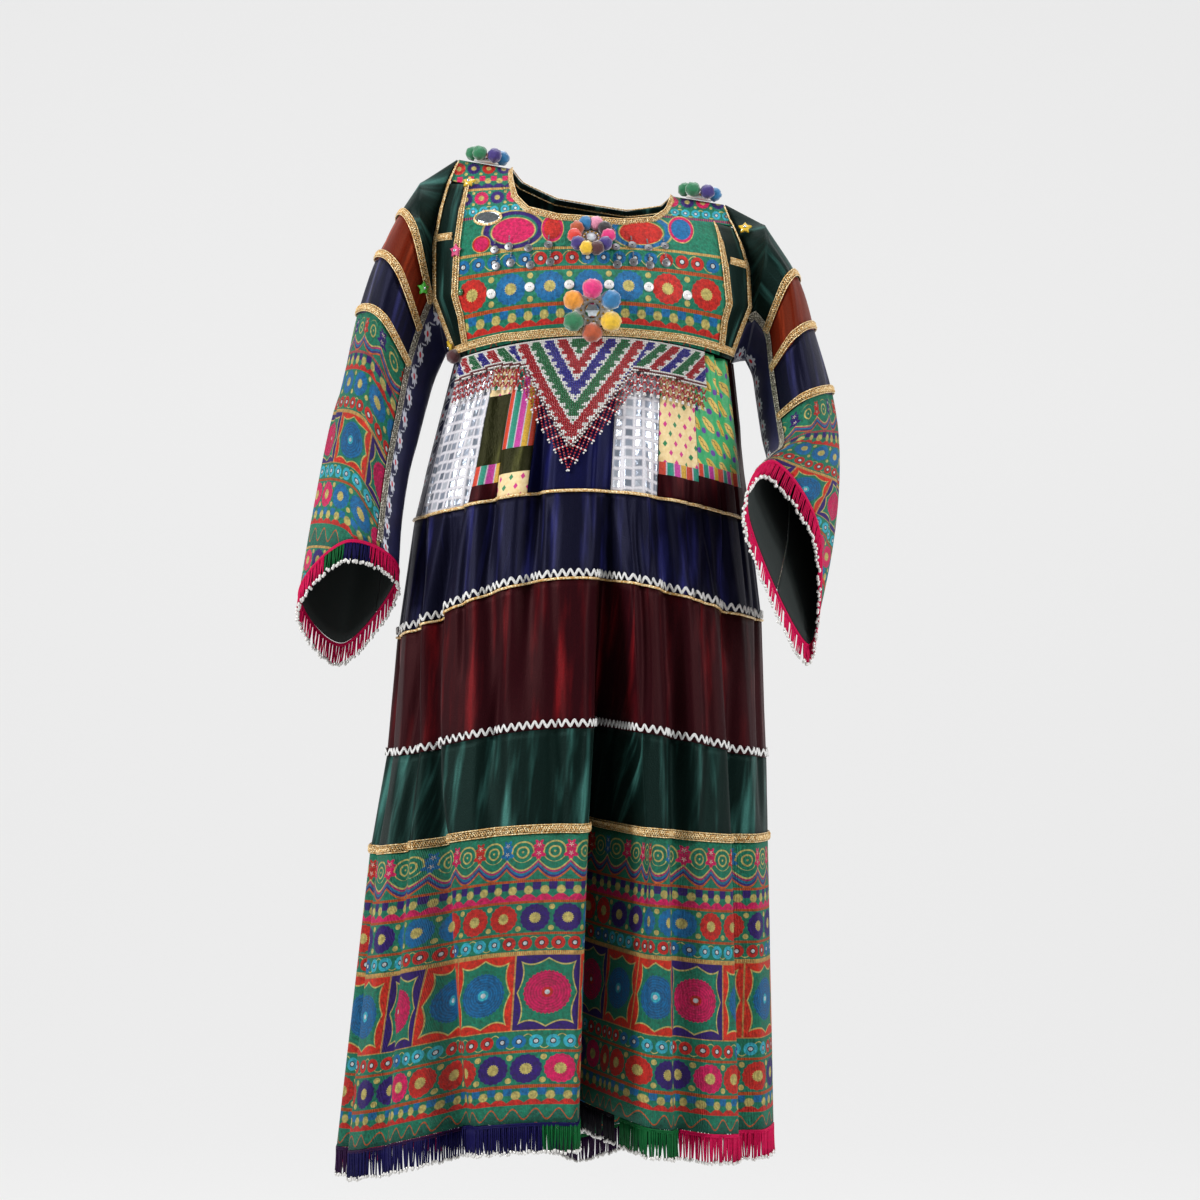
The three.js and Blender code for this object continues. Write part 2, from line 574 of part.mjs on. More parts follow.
// A grid of a sleeve between two shares of its round; the right sleeve runs the other way
function sleeveGrid(side, sections, first, last, columns, places) {
  return places.map((place) => {
    const row = [];
    for (let i = 0; i <= columns; i += 1) {
      const inset = (i === 0 ? SEAM_SHARE : 0) - (i === columns ? SEAM_SHARE : 0);
      const turn = lerp(first, last, i / columns) + inset;
      row.push(sleevePoint(side, sections, side < 0 ? turn : 1 - turn, place));
    }
    return row;
  });
}

function addSleeve(label, side, sections) {
  const end = sections.length;
  const first = 0.5 + GUSSET_HALF;
  const last = 1.5 - GUSSET_HALF;
  const columns = Math.round(SLEEVE_COLUMNS * (1 - 2 * GUSSET_HALF));
  const bell = [4];
  for (let place = 5; place <= end; place += 1) {
    bell.push(place);
  }
  const embroidered = { name: 'embroidered', places: bell, braid: false, color: EMBROIDERED };
  const parts = [...SLEEVE_PARTS, embroidered];
  const all = [...new Set(parts.flatMap((part) => part.places))];
  const whole = gridNormals(sleeveGrid(side, sections, first, last, columns, all), false, false);
  const lift = TRIM_LIFT + TRIM_THICK;
  for (const part of parts) {
    const places = part.places.map((place, j) => place + (j === 0 && place > 0 ? SEAM_SHARE : 0));
    const grid = sleeveGrid(side, sections, first, last, columns, places);
    const normals = part.places.map((place) => whole[all.indexOf(place)]);
    const wall = wallGeometry(grid, CLOTH, false, false, normals);
    addPiece(`sleeve_${label}_${part.name}`, wall, part.color);
    if (part.braid) {
      const outward = normals.slice(-2);
      const moved = movedOut(grid.slice(-2), outward, lift);
      const trim = wallGeometry(moved, TRIM_THICK, false, false, outward);
      addPiece(`braid_sleeve_${label}_${part.name}`, trim, GOLD_BRAID, TRIM_FINISH);
    }
  }
  const under = [];
  for (let place = 0; place <= end; place += 1) {
    under.push(place);
  }
  const edges = [0.5 - GUSSET_HALF, 0.5 + GUSSET_HALF];
  const gusset = sleeveGrid(side, sections, ...edges, GUSSET_COLUMNS, under);
  addPiece(`sleeve_${label}_gusset`, wallGeometry(gusset, CLOTH, false, false), NAVY_VELVET);
}
addSleeve('left', -1, SLEEVE_LEFT);
addSleeve('right', 1, SLEEVE_RIGHT);

// Fringe: a narrow strip along an edge, with strands grown from its lower face.
// Each edge point has a place, an outward normal, and the way that the cloth runs off.
function fringeGeometry(edge, closed, length) {
  const points = [];
  const faces = [];
  for (const { place, normal, way } of edge) {
    const top = place.clone().addScaledVector(way, SEAM);
    const low = top.clone().addScaledVector(way, STRIP_HEIGHT);
    points.push(top, top.clone().addScaledVector(normal, -STRIP_THICK));
    points.push(low, low.clone().addScaledVector(normal, -STRIP_THICK));
  }
  const quad = (a, b, c, d) => faces.push(a, b, c, a, c, d);
  const segments = closed ? edge.length : edge.length - 1;
  for (let k = 0; k < segments; k += 1) {
    const here = 4 * k;
    const next = 4 * ((k + 1) % edge.length);
    quad(here, here + 2, next + 2, next);
    quad(here + 1, next + 1, next + 3, here + 3);
    quad(here, next, next + 1, here + 1);
    const root = [here + 2, here + 3, next + 3, next + 2];
    if (k % 2 === 1) {
      quad(...root);
      continue;
    }
    const corners = root.map((i) => points[i]);
    const middle = corners.reduce((sum, p) => sum.add(p), new THREE.Vector3()).multiplyScalar(0.25);
    const hang = edge[k].way.clone().lerp(new THREE.Vector3(0, 0, -1), HANG).normalize();
    const long = length * (1 + STRAND_VARY * Math.sin(STRAND_TURN * k));
    const tip = points.length;
    for (const p of corners) {
      points.push(middle.clone().lerp(p, STRAND_TIP).addScaledVector(hang, long));
    }
    for (let j = 0; j < 4; j += 1) {
      const n = (j + 1) % 4;
      quad(root[j], root[n], tip + n, tip + j);
    }
    quad(tip, tip + 1, tip + 2, tip + 3);
  }
  if (!closed) {
    const e = 4 * (edge.length - 1);
    quad(0, 1, 3, 2);
    quad(e, e + 2, e + 3, e + 1);
  }
  return facesGeometry(points, faces);
}

// Hem fringe, one node for each run of colour, along the hem's own facets
const hemRow = tierGrids[3][tierGrids[3].length - 1];
const hemNormals = gridNormals([hemRow, hemRow], true, true)[0];
function hemAt(angle) {
  const turned = angle > 180 ? angle - 360 : angle;
  let i = tierAngles.findIndex((a) => a > turned);
  i = i < 0 ? 0 : i;
  const before = (i + TIER_COLUMNS - 1) % TIER_COLUMNS;
  const low = tierAngles[before] - (i === 0 && turned < 0 ? 360 : 0);
  const high = tierAngles[i] + (i === 0 && turned > 0 ? 360 : 0);
  const share = (turned - low) / (high - low);
  return {
    place: hemRow[before].clone().lerp(hemRow[i], share),
    normal: hemNormals[before].clone().lerp(hemNormals[i], share).normalize(),
    way: new THREE.Vector3(0, 0, -1),
  };
}
for (const run of HEM_FRINGE) {
  const edge = [];
  for (let k = 0; k < 2 * run.strands; k += 1) {
    edge.push(hemAt(lerp(run.a, run.b, k / (2 * run.strands - 1))));
  }
  addPiece(run.name, fringeGeometry(edge, false, HEM_STRAND), run.color);
}

// Cuff fringes, closed round the facets of the sleeve's last section
function addCuffFringe(label, side, sections, clear) {
  const end = sections.length;
  const grid = [end - 1, end].map((place) => {
    const row = [];
    for (let k = 0; k < SLEEVE_COLUMNS; k += 1) {
      const turn = k / SLEEVE_COLUMNS;
      row.push(sleevePoint(side, sections, side < 0 ? turn : 1 - turn, place));
    }
    return row;
  });
  const normals = gridNormals(grid, true, false)[1];
  const edge = [];
  for (let j = 0; j < 2 * CUFF_STRANDS; j += 1) {
    const along = j * SLEEVE_COLUMNS / (2 * CUFF_STRANDS);
    const k = Math.floor(along);
    const next = (k + 1) % SLEEVE_COLUMNS;
    const mix = (row) => row[k].clone().lerp(row[next], along - k);
    const place = mix(grid[1]);
    const way = place.clone().sub(mix(grid[0])).normalize();
    place.addScaledVector(way, clear);
    edge.push({ place, normal: mix(normals).normalize(), way });
  }
  addPiece(`fringe_cuff_${label}`, fringeGeometry(edge, true, CUFF_STRAND), PINK_THREAD);
}
addCuffFringe('left', -1, SLEEVE_LEFT, CUFF_CLEAR_LEFT);
addCuffFringe('right', 1, SLEEVE_RIGHT, CUFF_CLEAR_RIGHT);

// Bead panel and its net, on the skirt's unfolded surface moved out
function beadPoint(angle, drop) {
  const tall = SKIRT[0].zf - SKIRT[1].zf;
  const place = Math.max(drop, 0) / tall;
  const depth = foldDepth(angle, place) + gatherDepth(angle, place);
  return skirtPoint(angle, place, depth + BEAD_LIFT);
}
function beadGrid(topDrop, bottomDrop, rows) {
  const grid = [];
  const first = BEAD_EDGE[0].angle;
  const last = BEAD_EDGE[BEAD_EDGE.length - 1].angle;
  for (let j = 0; j <= rows; j += 1) {
    const row = [];
    for (let i = 0; i <= BEAD_COLUMNS; i += 1) {
      const angle = lerp(first, last, i / BEAD_COLUMNS);
      row.push(beadPoint(angle, lerp(topDrop(angle), bottomDrop(angle), j / rows)));
    }
    grid.push(row);
  }
  return grid;
}
const beadEdge = (angle) => lookup(BEAD_EDGE, 'angle', angle, 'drop');
const beadPanel = beadGrid(() => BEAD_TOP, beadEdge, BEAD_ROWS);
addPiece('bead_panel', wallGeometry(beadPanel, CLOTH, false, true), RED_BEADS, BEAD_FINISH);
const beadNet = beadGrid((angle) => beadEdge(angle) + NET_DROP, (angle) => beadEdge(angle) + NET_WIDTH, 1);
addPiece('bead_net', wallGeometry(beadNet, CLOTH, false, true), RED_BEADS, BEAD_FINISH);

// Rosettes: pompoms round a disc, joined into one solid
const wasm = await Module();
wasm.setup();
function toSolid(geometry) {
  const bare = geometry.index ? geometry.toNonIndexed() : geometry.clone();
  const position = bare.getAttribute('position');
  const seen = new Map();
  const places = [];
  const triangles = [];
  for (let i = 0; i < position.count; i += 1) {
    const point = [position.getX(i), position.getY(i), position.getZ(i)];
    const key = point.map((value) => Math.round(value * 1e4)).join();
    if (!seen.has(key)) {
      seen.set(key, places.length / 3);
      places.push(...point);
    }
    triangles.push(seen.get(key));
  }
  return new wasm.Manifold(new wasm.Mesh({
    numProp: 3,
    vertProperties: new Float32Array(places),
    triVerts: new Uint32Array(triangles),
  }));
}
function fromSolid(solid) {
  const mesh = solid.getMesh();
  const geometry = new THREE.BufferGeometry();
  geometry.setAttribute('position', new THREE.BufferAttribute(new Float32Array(mesh.vertProperties), 3));
  geometry.setIndex(new THREE.BufferAttribute(new Uint32Array(mesh.triVerts), 1));
  geometry.computeVertexNormals();
  return geometry;
}
function addRosette({ name, ring, balls, ball, disc }, place, normal) {
  const plate = new THREE.CylinderGeometry(disc, disc, DISC_THICK, DISC_SIDES);
  plate.translate(0, DISC_THICK / 2, 0);
  let solid = toSolid(plate);
  for (let k = 0; k < balls; k += 1) {
    const turn = 2 * Math.PI * k / balls;
    const pompom = new THREE.OctahedronGeometry(ball, 1);
    pompom.translate(ring * Math.cos(turn), ball + BALL_LIFT, ring * Math.sin(turn));
    solid = solid.add(toSolid(pompom));
  }
  const geometry = fromSolid(solid);
  geometry.applyQuaternion(new THREE.Quaternion().setFromUnitVectors(new THREE.Vector3(0, 1, 0), normal));
  geometry.translate(place.x, place.y, place.z);
  addPiece(name, geometry, WHITE_TRIM);
}
for (const rosette of ROSETTES) {
  const { angle, z, ring } = rosette;
  const up = bodicePoint(angle, z + ring).sub(bodicePoint(angle, z - ring));
  const across = bodicePoint(angle + 3, z).sub(bodicePoint(angle - 3, z));
  addRosette(rosette, bodicePoint(angle, z, ROSETTE_LIFT), across.cross(up).normalize());
}
const shoulderUp = new THREE.Vector3(SHOULDER_DROP, 0, 1).normalize();
for (const rosette of SHOULDER_ROSETTES) {
  const z = SHOULDER - SHOULDER_DROP * (rosette.x - DROP_CENTRE);
  const seat = new THREE.Vector3(rosette.x, 0, z);
  addRosette(rosette, seat.addScaledVector(shoulderUp, ROSETTE_LIFT), shoulderUp);
}

export default dress;
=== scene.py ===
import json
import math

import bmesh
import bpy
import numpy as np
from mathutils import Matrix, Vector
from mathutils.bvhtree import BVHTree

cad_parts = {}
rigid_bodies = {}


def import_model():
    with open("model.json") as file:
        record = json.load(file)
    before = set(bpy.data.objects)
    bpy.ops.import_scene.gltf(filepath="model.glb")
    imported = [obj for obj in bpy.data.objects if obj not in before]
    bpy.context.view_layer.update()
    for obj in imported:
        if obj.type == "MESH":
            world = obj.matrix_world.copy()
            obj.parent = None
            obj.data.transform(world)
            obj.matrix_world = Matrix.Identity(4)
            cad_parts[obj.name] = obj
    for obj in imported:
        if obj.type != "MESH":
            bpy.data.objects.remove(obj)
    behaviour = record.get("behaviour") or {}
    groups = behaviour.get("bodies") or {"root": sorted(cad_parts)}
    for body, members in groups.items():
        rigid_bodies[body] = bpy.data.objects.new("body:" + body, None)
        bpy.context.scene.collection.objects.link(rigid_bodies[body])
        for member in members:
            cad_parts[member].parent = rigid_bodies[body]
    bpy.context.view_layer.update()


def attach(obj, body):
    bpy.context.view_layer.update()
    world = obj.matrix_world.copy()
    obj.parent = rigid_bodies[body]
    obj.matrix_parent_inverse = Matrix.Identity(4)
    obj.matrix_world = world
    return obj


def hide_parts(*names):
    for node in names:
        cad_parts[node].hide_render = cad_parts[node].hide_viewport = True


bl_info = {
    "name": "Kuchi dress",
    "version": (1, 0, 0),
    "blender": (4, 5, 0),
    "location": "3D View > Sidebar > Dress",
    "description": "Builds the finish of a worn kuchi dress around its solids",
    "category": "Object",
}

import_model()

MM = 0.001
CLOTH = 1.4                   # shown thickness of the cloth, millimetres
BEAD_PITCH = 2.1              # between the beads of the apron, millimetres
STRAND_STEP = 2.3             # between the strands of the hem's fringe, millimetres
LENS = 91.3                   # of the camera, millimetres
ROOM_LIGHT = 0.24
# The shoulders' height, how they fall to one side, from where across, and how far below the
# origin the fall ends; the bodice's middle line and the angle of its armholes
SHOULDER = 20.0
SHOULDER_DROP = 0.17
DROP_CENTRE = -113.0
DROP_END = 205.0
BODICE_MIDDLE = 8.0
ARMHOLE_ANGLE = 76.0

# Skirt sections from the waist to the hem: heights at the four sides, how far the outline
# goes to the left and right, and how deep it is to the front and back, in millimetres
SKIRT = {
    "left_height": (-208, -391, -524, -660, -770, -1105),
    "front_height": (-188, -362, -456, -620, -732, -1044),
    "right_height": (-210, -392, -504, -661, -752, -1076),
    "back_height": (-200, -398, -520, -668, -778, -1124),
    "left": (-152, -197, -216, -228, -247, -285),
    "right": (172, 190, 204, 210, 211, 217),
    "front": (126, 166, 186, 196, 205, 216),
    "back": (98, 140, 166, 186, 202, 226),
}
# Folds: angle at the top and the hem, bow, half width and depth at both, first and last section
FOLDS = (
    (9, 15, -2, 6, 10, 16, 92, 0.2, 9),
    (-16, -14, 0, 6, 6, 22, 0, 0.1, 3),
    (-32, -18, 0, 5, 7, 12, 4, 0.3, 9),
    (-46, -27, -13, 6, 9, 12, 40, 0.5, 9),
    (27, 37, -1, 5, 7, 14, 26, 0.3, 9),
    (50, 62, 0, 7, 8, 8, 24, 0.8, 9),
    (84, 92, 0, 8, 9, 10, 34, 0.4, 9),
    (112, 118, 3, 7, 10, 14, 46, 0.2, 9),
    (138, 146, -2, 6, 8, 12, 26, 0.5, 9),
    (165, 172, 2, 6, 11, 16, 62, 0.1, 9),
    (190, 198, 0, 6, 8, 12, 22, 0.6, 9),
    (216, 224, -3, 7, 10, 15, 50, 0.3, 9),
    (244, 252, 2, 7, 9, 12, 34, 0.5, 9),
    (274, 284, 0, 7, 9, 10, 30, 0.7, 9),
    (294, 308, 0, 6, 7, 8, 14, 0.9, 9),
)
# Soft creases that run down the cloth between the folds: angle, half width, depth, sway,
# first and last section
CREASES = (
    (-78, 3.0, 4, 3, 1.0, 4.8), (-62, 2.2, 5, -2, 1.2, 3.6), (-57, 3.4, 4, 4, 2.6, 5.2),
    (-38, 2.0, 5, 2, 1.0, 2.6), (-24, 2.4, 4, -3, 1.8, 3.8), (-8, 2.6, 3, 2, 1.0, 2.7),
    (-4, 3.0, 4, 3, 2.4, 4.4), (2, 2.0, 3, -2, 1.1, 2.2), (19, 2.0, 5, 1, 1.0, 3.2),
    (33, 2.4, 4, 3, 1.6, 3.4), (42, 3.0, 5, -2, 1.0, 4.2), (58, 2.6, 4, 2, 2.2, 5.2),
    (72, 3.0, 5, -3, 1.0, 3.8), (101, 3.0, 5, 2, 1.0, 4.6), (127, 2.8, 5, -3, 1.4, 4.4),
    (153, 3.0, 5, 3, 1.0, 4.0), (181, 2.6, 4, -2, 1.8, 5.0), (206, 3.0, 5, 2, 1.0, 4.2),
    (232, 2.6, 5, -3, 1.2, 4.6), (259, 3.0, 4, 2, 1.0, 4.0), (286, 2.6, 4, 2, 1.6, 4.8),
    (-66, 1.7, 4, 2, 0.5, 2.2), (-52, 1.8, 5, -2, 0.7, 2.4),
    (-44, 1.6, 4, 2, 0.6, 1.9), (-31, 1.8, 4, -1, 0.7, 2.1), (-15, 1.9, 4, 2, 0.4, 2.0),
    (-10, 1.5, 3, 1, 0.5, 1.8), (3, 1.6, 4, -2, 0.4, 2.0), (14, 1.8, 4, 2, 0.6, 2.0),
    (23, 1.6, 4, 1, 0.6, 2.1), (38, 1.8, 5, -2, 0.5, 2.3), (46, 1.7, 4, 2, 0.8, 2.2),
    (55, 1.8, 5, 1, 0.6, 2.4), (66, 1.7, 4, -2, 0.5, 2.0), (81, 1.9, 5, 2, 0.6, 2.4),
)
# The deepest fold's narrow bottom: angles and half widths at the waist and hem, the share of
# its width that its walls take, its depth, and where it starts and how fast it grows
PLEAT_ANGLE = (9.0, 15.5)
PLEAT_HALF = (4.0, 9.6)
PLEAT_WALL = 0.42
PLEAT_DEPTH = 78.0
PLEAT_START = 1.9
PLEAT_GROWTH = 1.4
# Gathers below the waist: how many all round, how deep, and how far down they reach
GATHERS = 26
FINE_GATHERS = 74
GATHER_DEPTH = 7.0
FINE_DEPTH = 2.9
GATHER_LENGTH = 0.85

SIDE_GAP = 0.09               # left open at the bodice's side seams, in degrees
PANEL_START = 0.09            # share of a side panel's width that lies under the yoke's braid
# Bodice sections from the shoulder seam down to the waist, with the same four measures
BODICE_Z = (20, 12, -10, -40, -80, -140, -205)
BODICE = {
    "left": (-150, -154, -162, -170, -178, -178, -152),
    "right": (164, 168, 176, 184, 192, 194, 172),
    "front": (-3.7, 20, 60, 96, 120, 134, 126),
    "back": (4.7, 34, 72, 98, 108, 106, 98),
}
# The yoke's side edge by its share of the way down, and the neck's edge by angle
YOKE_SHARE = (0, 0.12, 0.135, 0.44, 0.82, 1)
YOKE_ANGLE = (76, 76, 56, 54, 56, 61)
NECK_ANGLE = (-90, -36, -34, -30, -24, -12, 12, 24, 30, 36, 90)
NECK_FRONT = (20, 20, 4, -20, -36, -42, -38, -26, -8, 20, 20)
NECK_HALF = 36
NECK_BACK_ANGLE = (-90, -36, -30, -14, 14, 30, 36, 90)
NECK_BACK = (20, 20, 10, 0, 0, 10, 20, 20)

# Sleeve sections through four points each: outer, front, inner and back
SLEEVE_LEFT = (
    ((-190, 0, -2), (-184, -58, -66), (-160, 0, -199), (-188, 56, -76)),
    ((-216, 0, -44), (-194, -66, -66), (-166, 0, -212), (-200, 60, -92)),
    ((-241, -2, -92), (-212, -74, -113), (-174, -4, -232), (-212, 62, -128)),
    ((-262, -4, -156), (-228, -80, -168), (-182, -12, -262), (-228, 58, -180)),
    ((-275, -8, -216), (-238, -88, -233), (-191, -24, -300), (-238, 48, -245)),
    ((-291, -16, -275), (-248, -98, -297), (-200, -38, -338), (-250, 36, -320)),
    ((-310, -32, -380), (-256, -118, -365), (-207, -56, -392), (-262, 18, -430)),
    ((-323, -60, -472), (-262, -138, -414), (-209, -80, -448), (-278, -2, -530)),
)
SLEEVE_RIGHT = (
    ((206, 0, -50), (204, -60, -92), (184, 0, -206), (206, 58, -96)),
    ((246, 0, -116), (228, -68, -126), (192, 0, -224), (232, 62, -140)),
    ((264, -2, -172), (236, -76, -188), (196, -4, -252), (240, 62, -196)),
    ((284, -8, -246), (246, -88, -258), (202, -16, -296), (250, 60, -270)),
    ((291, -26, -310), (246, -114, -296), (206, -62, -330), (266, 30, -370)),
    ((284, -62, -356), (230, -142, -312), (194, -124, -356), (266, -30, -456)),
    ((262, -108, -404), (208, -168, -328), (178, -190, -388), (250, -100, -530)),
)
SLEEVES = {"left": (-1, SLEEVE_LEFT), "right": (1, SLEEVE_RIGHT)}
# Half a gusset's share of the way round, and the share left open at each seam
GUSSET_HALF = 0.125
SEAM_SHARE = 0.002


def same_shape(*values):
    """Arrays of one shape from the values."""
    return np.broadcast_arrays(*[np.asarray(v, float) for v in values])


def table(key, place):
    """A measure of the skirt at a place between its sections; beyond the last it goes on."""
    values = SKIRT[key]
    slope = values[-1] - values[-2]
    low = np.interp(place, range(len(values)), values)
    return low + np.maximum(place - len(values) + 1, 0) * slope


def skirt_height(angle, place):
    """The height of a section's ring at an angle from the front."""
    across, ahead = np.sin(np.radians(angle)), np.cos(np.radians(angle))
    names = ("left_height", "right_height", "front_height", "back_height")
    left, right, front, back = (table(name, place) for name in names)
    sides = (right + left) / 2 + across * (right - left) / 2
    ends = (front + back) / 2 + ahead * (front - back) / 2
    return sides * across ** 2 + ends * ahead ** 2


def trough(angle, centre, half):
    """One in the middle of a fold and nothing beyond its half width."""
    turn = angle - centre
    turn = turn - 360 * np.round(turn / 360)
    return np.where(np.abs(turn) < half, 0.5 + 0.5 * np.cos(np.pi * turn / half), 0)


def fold_depth(angle, place):
    """How far the main folds go in, in millimetres."""
    depth = np.zeros_like(place)
    for top, hem, bow, w_top, w_hem, d_top, d_hem, start, end in FOLDS:
        share = np.clip((place - 1) / 4, -0.25, 1)
        centre = top + (hem - top) * share + bow * 4 * share * (1 - share)
        rise = np.maximum(share, 0)
        half = w_top + (w_hem - w_top) * rise
        fade = np.clip((place - start) / 0.9, 0, 1) * np.clip(end - place, 0, 1)
        depth = depth + (d_top + (d_hem - d_top) * rise) * fade * trough(angle, centre, half)
    return depth


def crease_depth(angle, place):
    """How far the soft creases go in, in millimetres."""
    depth = np.zeros_like(place)
    for centre, half, deep, sway, start, end in CREASES:
        share = np.clip((place - start) / (end - start), 0, 1)
        fade = np.sin(np.pi * share) ** 0.6
        line = centre + sway * (share - 0.5) + 0.8 * np.sin(3.1 * place + centre)
        depth = depth + deep * fade * trough(angle, line, half * (1 + 0.3 * share))
    return depth


def pleat_depth(angle, place):
    """The narrow bottom of the deepest fold, which lies in its own shade."""
    share = np.clip((place - 1) / 4, 0, 1)
    centre = PLEAT_ANGLE[0] + (PLEAT_ANGLE[1] - PLEAT_ANGLE[0]) * share
    half = PLEAT_HALF[0] + (PLEAT_HALF[1] - PLEAT_HALF[0]) * share
    turn = np.abs(angle - centre - 360 * np.round((angle - centre) / 360))
    wall = np.clip((half - turn) / (half * PLEAT_WALL), 0, 1)
    fade = np.clip((place - PLEAT_START) / PLEAT_GROWTH, 0, 1)
    return PLEAT_DEPTH * wall * wall * (3 - 2 * wall) * fade


def gather_depth(angle, place):
    """How far the gathers below the waist go in, in millimetres."""
    fade = np.clip(1 - place / GATHER_LENGTH, 0, 1)
    turn = np.radians(angle)
    broad = GATHER_DEPTH * (0.5 - 0.5 * np.cos(GATHERS * turn))
    swing = FINE_GATHERS * turn + 1.7 * np.sin(3 * turn) + 2.3 * np.sin(7 * turn)
    fine = FINE_DEPTH * (0.5 - 0.5 * np.cos(swing)) * (1 - 0.6 * np.minimum(place, 1))
    return fade * (broad + fine)


def skirt_point(angle, place, lift=0.0, smooth=False):
    """A point of the skirt by its angle from the front and its place between the sections."""
    angle, place, lift = same_shape(angle, place, lift)
    left, right = table("left", place), table("right", place)
    ahead, across = np.cos(np.radians(angle)), np.sin(np.radians(angle))
    half = (right - left) / 2
    deep = np.where(ahead > 0, table("front", place), table("back", place))
    out_x, out_y = across / half, -ahead / deep
    size = np.hypot(out_x, out_y)
    push = lift
    if not smooth:
        push = lift - fold_depth(angle, place) - gather_depth(angle, place)
        push = push - crease_depth(angle, place) - pleat_depth(angle, place)
    x = (left + right) / 2 + half * across + out_x / size * push
    y = -deep * ahead + out_y / size * push
    return np.stack([x, y, skirt_height(angle, place)], -1)


def bodice_point(angle, z, lift=0.0):
    """A point of the bodice by its angle and height."""
    angle, z, lift = same_shape(angle, z, lift)
    rising = -np.asarray(BODICE_Z, float)
    left, right, front, back = (np.interp(-z, rising, BODICE[k]) for k in ("left", "right", "front", "back"))
    ahead, across = np.cos(np.radians(angle)), np.sin(np.radians(angle))
    half = (right - left) / 2
    deep = np.where(ahead > 0, front, back)
    out_x, out_y = across / half, -ahead / np.maximum(np.abs(deep), 30)
    size = np.hypot(out_x, out_y)
    x = (left + right) / 2 + half * across + out_x / size * lift
    y = -deep * np.sign(ahead) * np.abs(ahead) ** 0.85 + out_y / size * lift
    drop = SHOULDER_DROP * (x - DROP_CENTRE) * np.clip((z + DROP_END) / DROP_END, 0, 1) ** 1.5
    return np.stack([x, y, z - drop], -1)


def waist_height(angle):
    """The height of the seam between bodice and skirt."""
    return skirt_height(angle, np.zeros_like(angle)) + 0.3


def yoke_point(angle, share, lift=0.0):
    """A point of the front bodice by its angle and its share of the way down."""
    angle, share, lift = same_shape(angle, share, lift)
    top = np.interp(angle, NECK_ANGLE, NECK_FRONT)
    return bodice_point(angle, top + (waist_height(angle) - top) * share, lift)


def back_point(angle, share, lift=0.0):
    """A point of the back by its angle from behind and its share down."""
    angle, share, lift = same_shape(angle, share, lift)
    top = np.interp(angle, NECK_BACK_ANGLE, NECK_BACK)
    return bodice_point(angle + 180, top + (waist_height(angle + 180) - top) * share, lift)


def spline(before, after, slope, slope_after, share):
    """A smooth curve between two knots with the slopes given at both."""
    bend = 3 * (after - before) - 2 * slope - slope_after
    twist = 2 * (before - after) + slope + slope_after
    return before + slope * share + bend * share ** 2 + twist * share ** 3


def section_point(section, turn):
    """A point of a closed sleeve section by its share round."""
    knots = np.asarray(section, float)
    whole = np.floor(turn * 4).astype(int)
    t = (turn * 4 - whole)[..., None]
    a, b, c, d = (knots[(whole + k) % 4] for k in (3, 0, 1, 2))
    return spline(b, c, (c - a) / 2, (d - b) / 2, t)


def armhole_point(side, turn):
    """A point of the armhole's edge by its share round."""
    share = 1 - np.abs(1 - 2 * turn)
    down = np.minimum(share / 0.94, 1)
    front = np.full_like(turn, side * (ARMHOLE_ANGLE + 0.5))

    def edge(angle):
        return bodice_point(angle, SHOULDER + (waist_height(angle) + 1.5 - SHOULDER) * down)
    across = (np.clip((share - 0.94) / 0.06, 0, 1) / 2)[..., None]
    ahead, behind = edge(front), edge(180 - front)
    point = np.where((turn < 0.5)[..., None], ahead * (1 - across) + behind * across,
                     behind * (1 - across) + ahead * across)
    point[..., 0] += side * 1.7
    return point


def sleeve_point(label, turn, place):
    """A point of a sleeve by its share round, from the outer side over the front, and its section."""
    side, sections = SLEEVES[label]
    turn, place = same_shape(turn, place)
    turn = turn - np.floor(turn)
    rings = [armhole_point(side, turn)] + [section_point(s, turn) for s in sections]
    last = len(rings) - 1
    k = np.clip(np.floor(place).astype(int), 0, last - 1)
    t = (place - k)[..., None]
    rings = np.stack(rings)
    grid = np.indices(k.shape)

    def ring(j):
        return rings[(np.clip(j, 0, last), *grid)]
    a, b, c, d = ring(k - 1), ring(k), ring(k + 1), ring(k + 2)
    slope = np.where((k > 1)[..., None], (c - a) / 2, c - b)
    after = np.where((k < last - 1)[..., None], (d - b) / 2, c - b)
    point = spline(b, c, slope, after, t)
    return np.where((k < 1)[..., None], b + (c - b) * t, point)


def run_along(path):
    """The length along a path up to each of its points."""
    return np.concatenate([[0], np.cumsum(np.linalg.norm(np.diff(path, axis=0), axis=1))])


def grid_normals(grid, closed):
    """Outward normals of a grid with rows from the top and columns to the wearer's left."""
    across = np.roll(grid, -1, 1) - np.roll(grid, 1, 1)
    if not closed:
        across[:, 0] = grid[:, 1] - grid[:, 0]
        across[:, -1] = grid[:, -1] - grid[:, -2]
    down = np.gradient(grid, axis=0)
    n = np.cross(down, across)
    return n / np.maximum(np.linalg.norm(n, axis=-1, keepdims=True), 1e-9)


def link_mesh(name, points, faces, finishes, uvs=None, kinds=None):
    """Makes a mesh object from points in millimetres; kinds gives each face's finish.
    uvs holds a pair for each corner of each face."""
    mesh = bpy.data.meshes.new(name)
    mesh.from_pydata((np.asarray(points, float) * MM).tolist(), [], [list(f) for f in faces])
    for finish in finishes:
        mesh.materials.append(finish)
    if kinds is not None:
        mesh.polygons.foreach_set("material_index", np.asarray(kinds, np.int32))
    if uvs is not None:
        layer = mesh.uv_layers.new(name="cloth")
        layer.data.foreach_set("uv", np.asarray(uvs, np.float32).ravel())
    mesh.polygons.foreach_set("use_smooth", np.ones(len(mesh.polygons), bool))
    mesh.update()
    obj = bpy.data.objects.new(name, mesh)
    bpy.context.scene.collection.objects.link(obj)
    return obj


